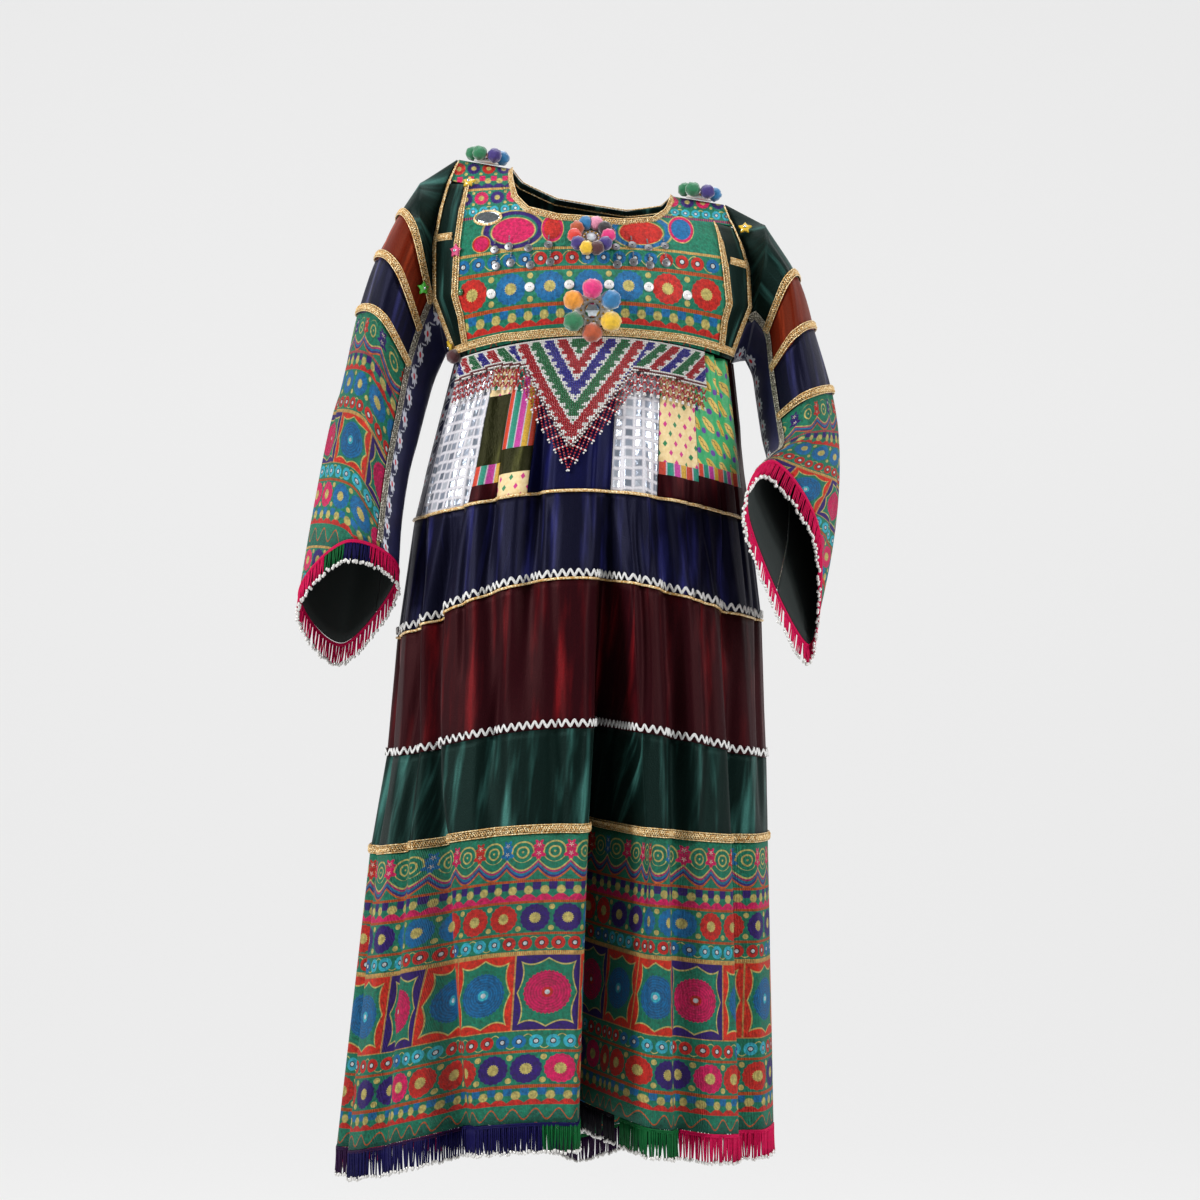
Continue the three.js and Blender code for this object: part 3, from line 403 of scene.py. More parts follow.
def grid_faces(rows, columns, closed):
    """Four-cornered faces between the points of a grid."""
    faces = []
    last = columns if closed else columns - 1
    for j in range(rows - 1):
        for i in range(last):
            n = (i + 1) % columns
            a, b = j * columns + i, j * columns + n
            faces.append((a, a + columns, b + columns, b))
    return faces


def corner_map(uv):
    """Pairs for the corners of a grid's faces; uv has a column for each edge between them."""
    corners = np.stack([uv[:-1, :-1], uv[1:, :-1], uv[1:, 1:], uv[:-1, 1:]], 2)
    return corners.reshape(-1, 2)


def cloth_lengths(grid, closed):
    """Lengths along and down the cloth, in metres."""
    whole = np.concatenate([grid, grid[:, :1]], 1) if closed else grid
    ring = np.linalg.norm(np.diff(whole, axis=1), axis=-1)
    drop = np.linalg.norm(np.diff(whole, axis=0), axis=-1)
    v = np.vstack([np.zeros((1, whole.shape[1])), np.cumsum(drop, 0)])
    u = np.broadcast_to(np.concatenate([[0], np.cumsum(ring[len(grid) // 2])]), v.shape)
    return np.stack([u, v], -1) * MM, ring.sum(1).mean() * MM, drop.sum(0).mean() * MM


def from_digits(text):
    """A colour written as six hexadecimal digits, in linear light."""
    parts = [int(text[k:k + 2], 16) / 255 for k in (0, 2, 4)]
    return (*[c / 12.92 if c < 0.04045 else ((c + 0.055) / 1.055) ** 2.4 for c in parts], 1.0)


# Colours that the panel offers, by the name of their setting; the three velvet ones colour painted highlight
# streaks
OFFERED = {"ground_thread": "168A6A", "gold_thread": "DCCB74", "navy_pile": "34367C",
           "maroon_pile": "78141A", "green_pile": "467E76"}


def linear(colour):
    """A colour in linear light, from its six hexadecimal digits or its setting's name."""
    if colour in OFFERED:
        return tuple(getattr(bpy.context.scene.dress, colour))
    return from_digits(colour)


class DressSettings(bpy.types.PropertyGroup):
    """Sizes and colours that the operators read before they build."""

    cloth_thickness: bpy.props.FloatProperty(
        name="Cloth thickness", description="Shown thickness of every cloth",
        default=CLOTH * MM, unit="LENGTH")
    bead_pitch: bpy.props.FloatProperty(
        name="Bead pitch", description="Distance between the beads of the apron",
        default=BEAD_PITCH * MM, unit="LENGTH")
    strand_step: bpy.props.FloatProperty(
        name="Strand step", description="Distance between the strands of the hem's fringe",
        default=STRAND_STEP * MM, unit="LENGTH")
    lens: bpy.props.FloatProperty(
        name="Lens", description="Focal length of the camera", default=LENS, unit="CAMERA")
    room_light: bpy.props.FloatProperty(
        name="Room light", description="Strength of the even light all round",
        default=ROOM_LIGHT, subtype="FACTOR")
    ground_thread: bpy.props.FloatVectorProperty(
        name="Embroidery ground", description="Thread between the motifs of the embroidery",
        default=from_digits(OFFERED["ground_thread"]), subtype="COLOR", size=4, min=0, max=1)
    gold_thread: bpy.props.FloatVectorProperty(
        name="Gold thread", description="Thread that outlines the motifs of the embroidery",
        default=from_digits(OFFERED["gold_thread"]), subtype="COLOR", size=4, min=0, max=1)
    # The three velvet colours below fill the painted highlight streaks that stand in for the sheen of the
    # pile.
    navy_pile: bpy.props.FloatVectorProperty(
        name="Navy velvet", description="Bright streaks of the navy velvet's pile",
        default=from_digits(OFFERED["navy_pile"]), subtype="COLOR", size=4, min=0, max=1)
    maroon_pile: bpy.props.FloatVectorProperty(
        name="Maroon velvet", description="Bright streaks of the maroon velvet's pile",
        default=from_digits(OFFERED["maroon_pile"]), subtype="COLOR", size=4, min=0, max=1)
    green_pile: bpy.props.FloatVectorProperty(
        name="Green velvet", description="Bright streaks of the dark green velvet's pile",
        default=from_digits(OFFERED["green_pile"]), subtype="COLOR", size=4, min=0, max=1)


def cloth_piece(name, grid, closed, cloth, node, uv=None,
                lining=None):
    """A thin shell of cloth from a grid of points; uv holds lengths in metres."""
    rows, columns = grid.shape[:2]
    lengths, wide, tall = cloth_lengths(grid, closed)
    corners = corner_map(lengths if uv is None else uv)
    obj = link_mesh(name, grid.reshape(-1, 3), grid_faces(rows, columns, closed), [cloth], corners)
    wall = obj.modifiers.new("cloth", "SOLIDIFY")
    wall.thickness = bpy.context.scene.dress.cloth_thickness
    wall.offset = -1
    if lining:
        obj.data.materials.append(finish(lining))
        wall.material_offset = 1
        wall.material_offset_rim = 1
    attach(obj, "root")
    if node:
        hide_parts(node)
    return obj


class Value:
    """A socket of a shader; one that gives a number takes part in arithmetic."""

    def __init__(self, kit, socket):
        self.kit = kit
        self.socket = socket

    def __add__(self, other):
        return self.kit.maths("ADD", self, other)

    def __radd__(self, other):
        return self.kit.maths("ADD", other, self)

    def __sub__(self, other):
        return self.kit.maths("SUBTRACT", self, other)

    def __rsub__(self, other):
        return self.kit.maths("SUBTRACT", other, self)

    def __mul__(self, other):
        return self.kit.maths("MULTIPLY", self, other)

    def __rmul__(self, other):
        return self.kit.maths("MULTIPLY", other, self)

    def __truediv__(self, other):
        return self.kit.maths("DIVIDE", self, other)

    def __rtruediv__(self, other):
        return self.kit.maths("DIVIDE", other, self)


class Kit:
    """Builds one finish out of shader nodes."""

    def __init__(self, name):
        self.material = bpy.data.materials.new(name)
        self.material.use_nodes = True
        self.tree = self.material.node_tree
        self.tree.nodes.clear()

    def node(self, kind, settings=None, inputs=None, output=0):
        """A node: first its settings, a ramp's stops among them, then its sockets, where a
        colour may be given by its digits."""
        node = self.tree.nodes.new(kind)
        for key, value in (settings or {}).items():
            if key == "stops":
                self.set_stops(node.color_ramp, value)
            else:
                setattr(node, key, value)
        for key, value in (inputs or {}).items():
            socket = node.inputs[key]
            if isinstance(value, Value):
                self.tree.links.new(value.socket, socket)
            else:
                socket.default_value = linear(value) if isinstance(value, str) else value
        return Value(self, node.outputs[output]) if len(node.outputs) else None

    def set_stops(self, ramp, stops):
        """Gives a ramp flat bands, each from its stop to the next."""
        ramp.interpolation = "CONSTANT"
        for k, (place, colour) in enumerate(stops):
            stop = ramp.elements[0] if k == 0 else ramp.elements.new(place)
            stop.position = place
            stop.color = colour

    def maths(self, operation, first, second=0.0, third=0.0, clamp=False):
        """One operation of a Math node; sums and products are written as expressions instead."""
        inputs = {0: first, 1: second, 2: third}
        return self.node("ShaderNodeMath", {"operation": operation, "use_clamp": clamp}, inputs)

    def blend(self, share, first, second):
        """Goes from the first colour to the second."""
        settings = {"data_type": "RGBA", "clamp_factor": True}
        return self.node("ShaderNodeMix", settings, {0: share, 6: first, 7: second}, 2)

    def tint(self, share, first, second):
        """Multiplies the colours."""
        settings = {"data_type": "RGBA", "blend_type": "MULTIPLY", "clamp_factor": True}
        return self.node("ShaderNodeMix", settings, {0: share, 6: first, 7: second}, 2)

    def below(self, value, edge, soft=0.6):
        """One where value lies under edge and nothing beyond it, with a soft step."""
        return self.maths("MULTIPLY_ADD", value, -1 / soft, edge / soft + 0.5, clamp=True)

    def above(self, value, edge, soft=0.6):
        """One where value lies over edge, with a soft step."""
        return self.maths("MULTIPLY_ADD", value, 1 / soft, 0.5 - edge / soft, clamp=True)

    def between(self, value, low, high, soft=0.6):
        """One from low to high, with soft steps."""
        centre = self.maths("ABSOLUTE", value - (low + high) / 2)
        return self.below(centre, (high - low) / 2, soft)

    def length(self, across, down):
        """How far a place lies from where both numbers are nothing."""
        joined = self.node("ShaderNodeCombineXYZ", None, {0: across, 1: down})
        return self.node("ShaderNodeVectorMath", {"operation": "LENGTH"}, {0: joined}, 1)

    def cell(self, value, pitch, shift=0.0):
        """The distance from the middle of a cell of that pitch, and the cell's number."""
        steps = self.maths("MULTIPLY_ADD", value, 1 / pitch, shift)
        inside = self.maths("FRACT", steps)
        return (inside - 0.5) * pitch, self.maths("FLOOR", steps)

    def cycle(self, number, colours):
        """Takes the colours one after the other."""
        share = self.maths("FRACT", self.maths("MULTIPLY_ADD", number, 1 / len(colours), 0.001))
        stops = [(k / len(colours), linear(colour)) for k, colour in enumerate(colours)]
        return self.node("ShaderNodeValToRGB", {"stops": stops}, {0: share})

    def cloth_map(self):
        """Lengths along and down the cloth, in millimetres."""
        place = self.node("ShaderNodeUVMap", {"uv_map": "cloth"})
        parts = [self.node("ShaderNodeSeparateXYZ", None, {0: place}, axis) for axis in (0, 1)]
        return parts[0] * 1000, parts[1] * 1000

    def spot(self):
        """The point of the object itself, in metres."""
        return self.node("ShaderNodeTexCoord", None, None, 3)

    def noise(self, place, scale, detail=2.0, roughness=0.5):
        """Soft unevenness from nothing to one."""
        inputs = {"Vector": place, "Scale": scale, "Detail": detail, "Roughness": roughness}
        return self.node("ShaderNodeTexNoise", None, inputs)

    def stretched(self, place, scale):
        """A place multiplied by three factors."""
        settings = {"operation": "MULTIPLY"}
        return self.node("ShaderNodeVectorMath", settings, {0: place, 1: scale})

    def finish(self, colour, rough, height=None, deep=0.3, **constants):
        """Closes the finish; height is raised by deep millimetres through a bump."""
        inputs = {"Base Color": colour, "Roughness": rough}
        inputs.update({key.replace("_", " "): value for key, value in constants.items()})
        if height is not None:
            bump = {"Height": height, "Distance": deep * MM, "Strength": 1.0}
            inputs["Normal"] = self.node("ShaderNodeBump", None, bump)
        shell = self.node("ShaderNodeBsdfPrincipled", None, inputs)
        self.node("ShaderNodeOutputMaterial", None, {"Surface": shell})
        return self.material


# Thread colours; the first two are settings
TEAL = "ground_thread"
GOLD = "gold_thread"
ORANGE = "E0642A"
BLUE = "0E78B8"
RED = "DE2A20"
PURPLE = "35127A"
PINK = "EE1468"
CYAN = "3CC4DC"
ROUND_COLOURS = (BLUE, BLUE, BLUE, RED, RED, RED, PURPLE, PURPLE)
EYE_COLOURS = (CYAN, CYAN, CYAN, RED, RED, RED, RED, BLUE, BLUE, BLUE)
DISC_COLOURS = (BLUE, PINK, PURPLE)
FRAME_COLOURS = ("EE3218", PURPLE, PINK)


def ring_row(kit, paint, u, v, row):
    """Stitched discs with gold centres, and small gold knots between them."""
    across, number = kit.cell(u, row["pitch"], row["shift"])
    middle, tall = row["middle"], row["tall"]
    down = v - middle
    reach = kit.length(across, down)
    turn = kit.maths("ARCTAN2", across, down)
    rough_edge = kit.maths("MULTIPLY_ADD", kit.maths("SINE", turn * 16.0), 0.5, reach)
    size = min(tall, row["pitch"]) / 2 - 1.2
    paint = kit.blend(kit.below(rough_edge, size), paint, kit.cycle(number, row["colours"]))
    paint = kit.blend(kit.below(rough_edge, size * 0.38), paint, GOLD)
    beside = row["pitch"] / 2 - kit.maths("ABSOLUTE", across)
    knot = kit.length(beside, kit.maths("ABSOLUTE", down) - tall * 0.36)
    return kit.blend(kit.below(knot, tall * 0.09), paint, GOLD)


def eye_row(kit, paint, u, v, row):
    """Small round mirrors in coloured thread, with a gold thread that winds round them; each mirror's glass
    is a painted reflection, a near-black ring round a pale middle.
    """
    across, number = kit.cell(u, row["pitch"], row["shift"])
    middle, tall = row["middle"], row["tall"]
    down = v - middle
    swing = kit.maths("COSINE", u * (math.pi / row["pitch"])) * (tall * 0.4)
    paint = kit.blend(kit.below(kit.maths("ABSOLUTE", down - swing), 0.6), paint, GOLD)
    reach = kit.length(across, down)
    size = min(row["pitch"] * 0.42, tall * 0.42)
    paint = kit.blend(kit.below(reach, size), paint, kit.cycle(number, row["colours"]))
    # painted reflection: the mirror's glass is a near-black ring round a pale middle
    paint = kit.blend(kit.below(reach, size * 0.45), paint, "161018")
    return kit.blend(kit.below(reach, size * 0.3), paint, "E6EEF2")


def square_row(kit, paint, u, v, row):
    """Square frames whose inner edge runs in lobes round a big stitched disc."""
    across, number = kit.cell(u, row["pitch"], row["shift"])
    half = row["pitch"] / 2
    stretch = row["pitch"] / row["tall"]
    down = (v - row["middle"]) * stretch
    lobes = [kit.maths("ABSOLUTE", kit.maths("SINE", way * (math.pi / half))) for way in (down, across)]
    sides = [half - kit.maths("ABSOLUTE", way) for way in (across, down)]
    inner = kit.maths("MINIMUM", sides[0] - lobes[0] * (half * 0.16),
                      sides[1] - lobes[1] * (half * 0.16))
    edge = half * 0.1
    paint = kit.blend(kit.below(inner, edge), paint, kit.cycle(number, row["colours"]))
    paint = kit.blend(kit.between(inner, edge - 0.4, edge + 1.0), paint, GOLD)
    outer = kit.maths("MINIMUM", sides[0], sides[1])
    paint = kit.blend(kit.below(outer, 0.9), paint, "D8A45A")
    reach = kit.length(across, down / stretch)
    turn = kit.maths("ARCTAN2", across, down)
    size = half * 0.7
    serrated = kit.maths("MULTIPLY_ADD", kit.maths("SINE", turn * 30.0), 0.6, reach)
    disc = kit.cycle(number, row["discs"])
    rounds = kit.maths("MULTIPLY_ADD", kit.maths("SINE", reach * 2.0), 0.16, 0.84)
    disc = kit.tint(1.0, disc, kit.blend(rounds, "000000", "FFFFFF"))
    paint = kit.blend(kit.below(serrated, size), paint, disc)
    middle = kit.cycle(number, row["middles"])
    paint = kit.blend(kit.below(reach, size * 0.24), paint, middle)
    return kit.blend(kit.below(reach, size * 0.11), paint, "E6EEF2")


def scallop_row(kit, paint, u, v, row):
    """Blocks of one colour over scallops of another, with gold knots between them."""
    across, _ = kit.cell(u, row["pitch"], row["shift"])
    tall = row["tall"]
    share = (v - row["top"]) / tall
    arch = kit.maths("ABSOLUTE", kit.maths("SINE", u * (math.pi / row["pitch"]) + math.pi * row["shift"]))
    first, second = row["colours"]
    paint = kit.blend(kit.above(share + arch * 0.24, 0.86, 0.05), paint, second)
    block = kit.above(kit.maths("ABSOLUTE", across), row["pitch"] * 0.24)
    paint = kit.blend(block * kit.below(share, 0.42, 0.05), paint, first)
    knot = kit.length(across, (share - 0.42) * tall)
    return kit.blend(kit.below(knot, row["pitch"] * 0.27, 1.2), paint, GOLD)


def scroll_row(kit, paint, u, v, row):
    """Gold spirals and upright flowers over hanging swags."""
    pitch, tall = row["pitch"], row["tall"]
    across, number = kit.cell(u, pitch, row["shift"])
    share = (v - row["top"]) / tall
    beside = pitch / 2 - kit.maths("ABSOLUTE", across)
    down = (share - 0.34) * tall
    reach = kit.length(beside, down)
    turn = kit.maths("ARCTAN2", beside, down)
    coil = kit.maths("SINE", reach * 1.0 + turn)
    gold = kit.below(reach, tall * 0.26) * kit.above(coil, 0.55, 0.4)
    paint = kit.blend(gold, paint, GOLD)
    colour = kit.cycle(number, row["colours"])
    for middle, size in ((0.2, 0.1), (0.4, 0.13)):
        rise = (share - middle) * tall
        petals = kit.maths("COSINE", kit.maths("ARCTAN2", across, rise) * 5.0) * (tall * 0.035)
        bloom = kit.length(across, rise) - petals
        paint = kit.blend(kit.below(bloom, tall * size), paint, colour)
        paint = kit.blend(kit.below(bloom, tall * 0.02), paint, "F2E6D0")
    arch = kit.maths("ABSOLUTE", kit.maths("SINE", across * (math.pi / pitch)))
    swag = share - arch * 0.24
    for low, colour in ((0.52, GOLD), (0.56, "C2187A"), (0.62, "1779B5"), (0.67, "4A1E86"), (0.72, ORANGE)):
        paint = kit.blend(kit.between(swag, low, low + 0.045, 0.015), paint, colour)
    return paint


def line_row(kit, paint, u, v, row):
    """Short stitches in two colours in turn; it takes what every kind of row takes."""
    stitches = kit.maths("ABSOLUTE", kit.maths("SINE", u * 1.4))
    return kit.blend(stitches, row["colours"][0], row["colours"][1])


def wave_row(kit, paint, u, v, row):
    """A thread that winds along the row, with another colour below it."""
    middle, tall = row["middle"], row["tall"]
    swing = kit.maths("SINE", u * (2 * math.pi / row["pitch"])) * (tall * 0.28)
    paint = kit.blend(kit.above(v - swing, middle), paint, row["colours"][0])
    off = kit.maths("ABSOLUTE", v - swing - middle)
    return kit.blend(kit.below(off, 0.9), paint, row["colours"][1])


ROW_KINDS = {
    "rings": ring_row, "eyes": eye_row, "squares": square_row, "scallops": scallop_row,
    "scroll": scroll_row, "line": line_row, "wave": wave_row,
}


def embroider(kit, u, v, rows):
    """The colour of a cloth that is stitched in rows across it."""
    paint = TEAL
    for row in rows:
        drawn = ROW_KINDS[row["kind"]](kit, TEAL, u, v, row)
        paint = kit.blend(kit.between(v, row["top"], row["bottom"], 0.4), paint, drawn)
    return paint


def row(kind, top, bottom, pitch=16.0, colours=ROUND_COLOURS, **more):
    """A row of stitching: its heights, the width of one motif and its colours, in order."""
    place = {"kind": kind, "top": top, "bottom": bottom, "middle": (top + bottom) / 2,
             "tall": bottom - top, "pitch": pitch, "shift": 0.0}
    return {**place, "colours": colours, **more}


def flecked(kit, paint, spot):
    """The colour with the light and dark of single threads in it, and these flecks themselves."""
    flecks = kit.maths("MULTIPLY_ADD", kit.noise(spot, 250.0, 3.0, 0.7), 2.4, -0.7, clamp=True)
    return kit.tint(1.0, paint, kit.blend(flecks, "A2A2A2", "FFFFFF")), flecks


def thread_finish(kit, paint, rough, u, spot, flecks):
    """Closes a finish of stitching, raised by its threads."""
    threads = kit.maths("SINE", u * 4.2 + kit.noise(spot, 90.0, 1.0) * 9.0)
    return kit.finish(paint, rough, threads + flecks * 3.0, 0.35, Specular_IOR_Level=0.3)


def stitched(name, rows):
    """A finish of dense thread embroidery, laid out by the cloth's own lengths."""
    kit = Kit(name)
    u, v = kit.cloth_map()
    paint = embroider(kit, u, v, rows)
    spot = kit.spot()
    paint, flecks = flecked(kit, paint, spot)
    worn = kit.blend(kit.noise(spot, 9.0, 2.0), "B8B8B8", "FFFFFF")
    paint = kit.tint(0.7, paint, worn)
    rough = kit.maths("MULTIPLY_ADD", flecks, 0.3, 0.5)
    return thread_finish(kit, paint, rough, u, spot, flecks)


def velvet(name, deep, light, gleam, crush=0.0):
    """Pile velvet: dark, with soft painted highlight streaks that run down the cloth and stand in for the
    sheen of its pile; the streaks are also a little smoother.
    """
    kit = Kit(name)
    u, v = kit.cloth_map()
    # painted highlight: noise stretched down the cloth marks where the bright streaks lie
    along = kit.node("ShaderNodeCombineXYZ", None, {0: u, 1: v * 0.12})
    broad = kit.noise(along, 0.045, 3.0, 0.55)
    share = kit.maths("MULTIPLY_ADD", broad, 4.6, -2.2, clamp=True)
    share = share * share
    spot = kit.spot()
    fine = kit.noise(spot, 900.0, 1.0, 0.7)
    # painted highlight: the streaks take the light colour
    paint = kit.blend(share, deep, light)
    paint = kit.tint(1.0, paint, kit.blend(fine, "9A9A9A", "FFFFFF"))
    height = fine + broad * 3.0
    if crush:
        # painted shade: the crushed pile is darker where its bump lies low, in the pressed hollows
        folds = kit.noise(kit.stretched(spot, (1, 1, 0.6)), 120.0, 3.0, 0.7)
        paint = kit.tint(crush, paint, kit.blend(folds, "303030", "FFFFFF"))
        height = height + folds * 6.0
    rough = kit.maths("MULTIPLY_ADD", share, -0.14, 0.52)
    return kit.finish(paint, rough, height, 0.35, Sheen_Weight=0.06, Sheen_Roughness=0.4,
                      Sheen_Tint=gleam, Specular_Tint=gleam,
                      Specular_IOR_Level=0.22)


def plain(name, colour, rough=0.6, metal=0.0, coat=0.0, sheen=0.0, grain=0.0, gloss=0.5):
    """One colour, with a little unevenness."""
    kit = Kit(name)
    flecks = kit.noise(kit.spot(), 300.0, 2.0)
    paint = kit.tint(1.0, colour, kit.blend(flecks, "B4B4B4", "FFFFFF"))
    height = flecks if grain else None
    roughness = kit.maths("MULTIPLY_ADD", flecks, 0.16, rough - 0.08)
    return kit.finish(paint, roughness, height, grain, Metallic=metal, Coat_Weight=coat,
                      Coat_Roughness=0.08, Sheen_Weight=sheen, Specular_IOR_Level=gloss)


def braid_finish(name, light, dark, glitter):
    """Metal thread with sequins: bright flecks painted as glints beside darker ones, and the metal also
    changes from cell to cell.
    """
    kit = Kit(name)
    spot = kit.spot()
    cells = kit.node("ShaderNodeTexVoronoi", None, {"Vector": spot, "Scale": 520.0}, 0)
    share = kit.maths("MULTIPLY_ADD", cells, 1.7, -0.2, clamp=True)
    # painted glint: the cells' middles take the light colour, the rest the dark one
    paint = kit.blend(share, light, dark)
    metal = kit.maths("MULTIPLY_ADD", cells, -glitter, glitter, clamp=True)
    return kit.finish(paint, 0.36, cells, 0.4, Metallic=metal)


def mirror_cloth(name):
    """White and silver cloth with small square mirrors in rows; the mirrors' lighter and darker greys are
    painted reflections, on a partly metallic finish.
    """
    kit = Kit(name)
    u, v = kit.cloth_map()
    across, column = kit.cell(u, 11.5)
    down, number = kit.cell(v, 11.5)
    square = kit.maths("MAXIMUM", kit.maths("ABSOLUTE", across), kit.maths("ABSOLUTE", down))
    fine = kit.noise(kit.spot(), 500.0, 1.0)
    ground = kit.blend(fine, "A6A4AC", "DEDCE0")
    paint = kit.blend(kit.between(square, 3.7, 4.3), ground, "8A8892")
    mirror = kit.below(square, 3.6, 0.4)
    # painted reflection: each mirror takes a lighter or darker grey-blue in turn, as if it caught the light
    # differently
    painted_reflection = kit.cycle(column + number * 3.0, ("9AA2B0", "CDD2DA", "7A828E", "BCC0C8", "A8AEB8"))
    paint = kit.blend(mirror, paint, painted_reflection)
    rough = kit.maths("MULTIPLY_ADD", mirror, -0.28, 0.52)
    return kit.finish(paint, rough, square * 0.2 + fine * 0.5, 0.3,
                      Metallic=mirror * 0.45)


def striped_silk(name, colours, pitch):
    """Silk with upright stripes and a pale line between them."""
    kit = Kit(name)
    u, v = kit.cloth_map()
    edge, number = kit.cell(u, pitch)
    paint = kit.cycle(number, colours)
    line = kit.above(kit.maths("ABSOLUTE", edge), pitch * 0.42, 0.3)
    paint = kit.blend(line, paint, "D4CCD8")
    fine = kit.noise(kit.spot(), 600.0, 1.0)
    paint = kit.tint(1.0, paint, kit.blend(fine, "9C9C9C", "FFFFFF"))
    return kit.finish(paint, 0.42, kit.maths("SINE", v * 4.0) + fine, 0.15)


def dotted_brocade(name, ground, marks, across_pitch, down_pitch):
    """Cream brocade with small woven diamonds in staggered rows."""
    kit = Kit(name)
    u, v = kit.cloth_map()
    down, number = kit.cell(v, down_pitch)
    across, column = kit.cell(u + number * (across_pitch / 2), across_pitch)
    mark = kit.maths("ABSOLUTE", across) * 1.5 + kit.maths("ABSOLUTE", down)
    spot = kit.spot()
    fine = kit.noise(spot, 260.0, 2.0)
    paint = kit.blend(fine, ground, "D2B070")
    paint = kit.blend(kit.below(mark, 3.7), paint, kit.cycle(column, marks))
    threads = kit.maths("SINE", v * 5.0) * 0.5
    return kit.finish(paint, 0.45, threads + fine, 0.2)


def leaf_brocade(name, ground, leaves, touches):
    """Green brocade with gold leaves and violet touches."""
    kit = Kit(name)
    u, v = kit.cloth_map()
    down, number = kit.cell(v, 24.0)
    across, column = kit.cell(u + number * 11.0, 22.0)
    slant = across * 0.7 + down * 0.7
    cross = across * 0.7 - down * 0.7
    leaf = kit.length(slant / 11.0, cross / 4.8)
    rib = kit.maths("ABSOLUTE", cross + kit.maths("SINE", slant * 1.1) * 0.8)
    fine = kit.noise(kit.spot(), 300.0, 2.0)
    paint = kit.blend(fine, ground, "4CB878")
    paint = kit.blend(kit.below(leaf, 1.0, 0.12), paint, kit.cycle(column, leaves))
    paint = kit.blend(kit.below(rib, 0.5) * kit.below(leaf, 1.0, 0.12), paint, "3A2A12")
    berry = kit.length(across + 8.0, down - 8.0)
    paint = kit.blend(kit.below(berry, 3.4), paint, touches)
    return kit.finish(paint, 0.42, fine + kit.maths("SINE", v * 5.0) * 0.5, 0.2)


def hem_rows():
    """The hem band's rows, by millimetres below its upper edge."""
    frames = {"discs": DISC_COLOURS, "middles": (CYAN, RED, BLUE)}
    return (
        row("scroll", 4, 56, 36.5, (RED, BLUE, PINK, PINK)),
        row("line", 56, 59, 1, (ORANGE, "B84A12")),
        row("scallops", 59, 81, 18.25, (PURPLE, PINK)),
        row("line", 81, 84, 1, (ORANGE, "B84A12")),
        row("rings", 84, 119, 36.5),
        row("line", 119, 122, 1, (ORANGE, "B84A12")),
        row("eyes", 122, 141, 18.25, EYE_COLOURS),
        row("line", 141, 145, 1, (ORANGE, GOLD)),
        row("squares", 145, 236, 73, FRAME_COLOURS, **frames),
        row("eyes", 238, 259, 18.25, EYE_COLOURS[5:] + EYE_COLOURS[:5]),
        row("line", 259, 262, 1, (ORANGE, "B84A12")),
        row("rings", 262, 300, 36.5, (RED, RED, PURPLE, PURPLE, PINK, PINK)),
        row("line", 300, 304, 1, (ORANGE, "B84A12")),
        row("scallops", 304, 324, 18.25, (BLUE, RED)),
        row("wave", 324, 346, 24, ("12705A", ORANGE)),
    )


def sleeve_rows():
    """The rows of both bells, by millimetres below the navy band."""
    frames = {"discs": (PINK, BLUE), "middles": (RED, CYAN)}
    return (
        row("scroll", 2, 44, 36, (PURPLE, RED)),
        row("line", 44, 47, 1, (PURPLE, ORANGE)),
        row("scallops", 47, 66, 18, (PURPLE, RED)),
        row("rings", 66, 96, 32, (BLUE, BLUE, PURPLE)),
        row("eyes", 96, 113, 16, (RED, RED, CYAN)),
        row("line", 113, 116, 1, (ORANGE, GOLD)),
        row("squares", 116, 176, 60, (PURPLE, "EE3218"), **frames),
        row("eyes", 177, 194, 17, (CYAN, CYAN, RED)),
        row("line", 194, 197, 1, (ORANGE, "B84A12")),
        row("rings", 197, 229, 32, (PINK, PINK, BLUE, BLUE)),
        row("scallops", 229, 248, 18, (BLUE, RED)),
        row("wave", 248, 275, 24, ("12705A", ORANGE)),
        row("line", 275, 278, 1, (ORANGE, GOLD)),
        row("rings", 278, 306, 28, (PURPLE, PINK, RED)),
        row("eyes", 306, 322, 16, (CYAN, RED, RED)),
        row("wave", 322, 345, 24, ("12705A", ORANGE)),
    )


def yoke_rows():
    """The yoke's rows, by millimetres below the origin."""
    discs = (BLUE, RED, RED, RED, PINK, BLUE, BLUE)
    return (
        row("rings", -24, -4, 17, (PURPLE, RED)),
        row("scallops", -4, 12, 13, (PINK, PURPLE)),
        row("line", 12, 15, 1, (ORANGE, GOLD)),
        row("rings", 15, 34, 18, (PURPLE, PINK)),
        row("eyes", 34, 46, 12, (CYAN,)),
        row("line", 46, 49, 1, (ORANGE, PURPLE)),
        row("line", 88, 91, 1, (ORANGE, GOLD)),
        row("eyes", 91, 110, 17.5, (BLUE, BLUE, BLUE, BLUE, BLUE, RED, RED, RED), shift=0.3),
        row("line", 110, 114, 1, (ORANGE, "B84A12")),
        row("rings", 114, 150, 43.7, discs, shift=0.386),
        row("line", 150, 154, 1, (ORANGE, "B84A12")),
        row("scallops", 154, 174, 18, (BLUE, RED)),
        row("wave", 174, 214, 24, ("12705A", RED)),
    )


# Framed discs of the yoke: place across and down, half width, half height, rim and middle
YOKE_MARKS = (
    (-80, 66, 34, 22, PURPLE, TEAL), (-80, 67, 24, 15, PINK, PINK),
    (-36, 66, 12, 16, PINK, RED), (63, 68, 34, 21, BLUE, TEAL), (63, 70, 24, 14, RED, RED),
    (108, 62, 14, 16, PINK, BLUE), (24, 72, 10, 9, PURPLE, BLUE), (-116, 78, 10, 9, RED, PINK),
)


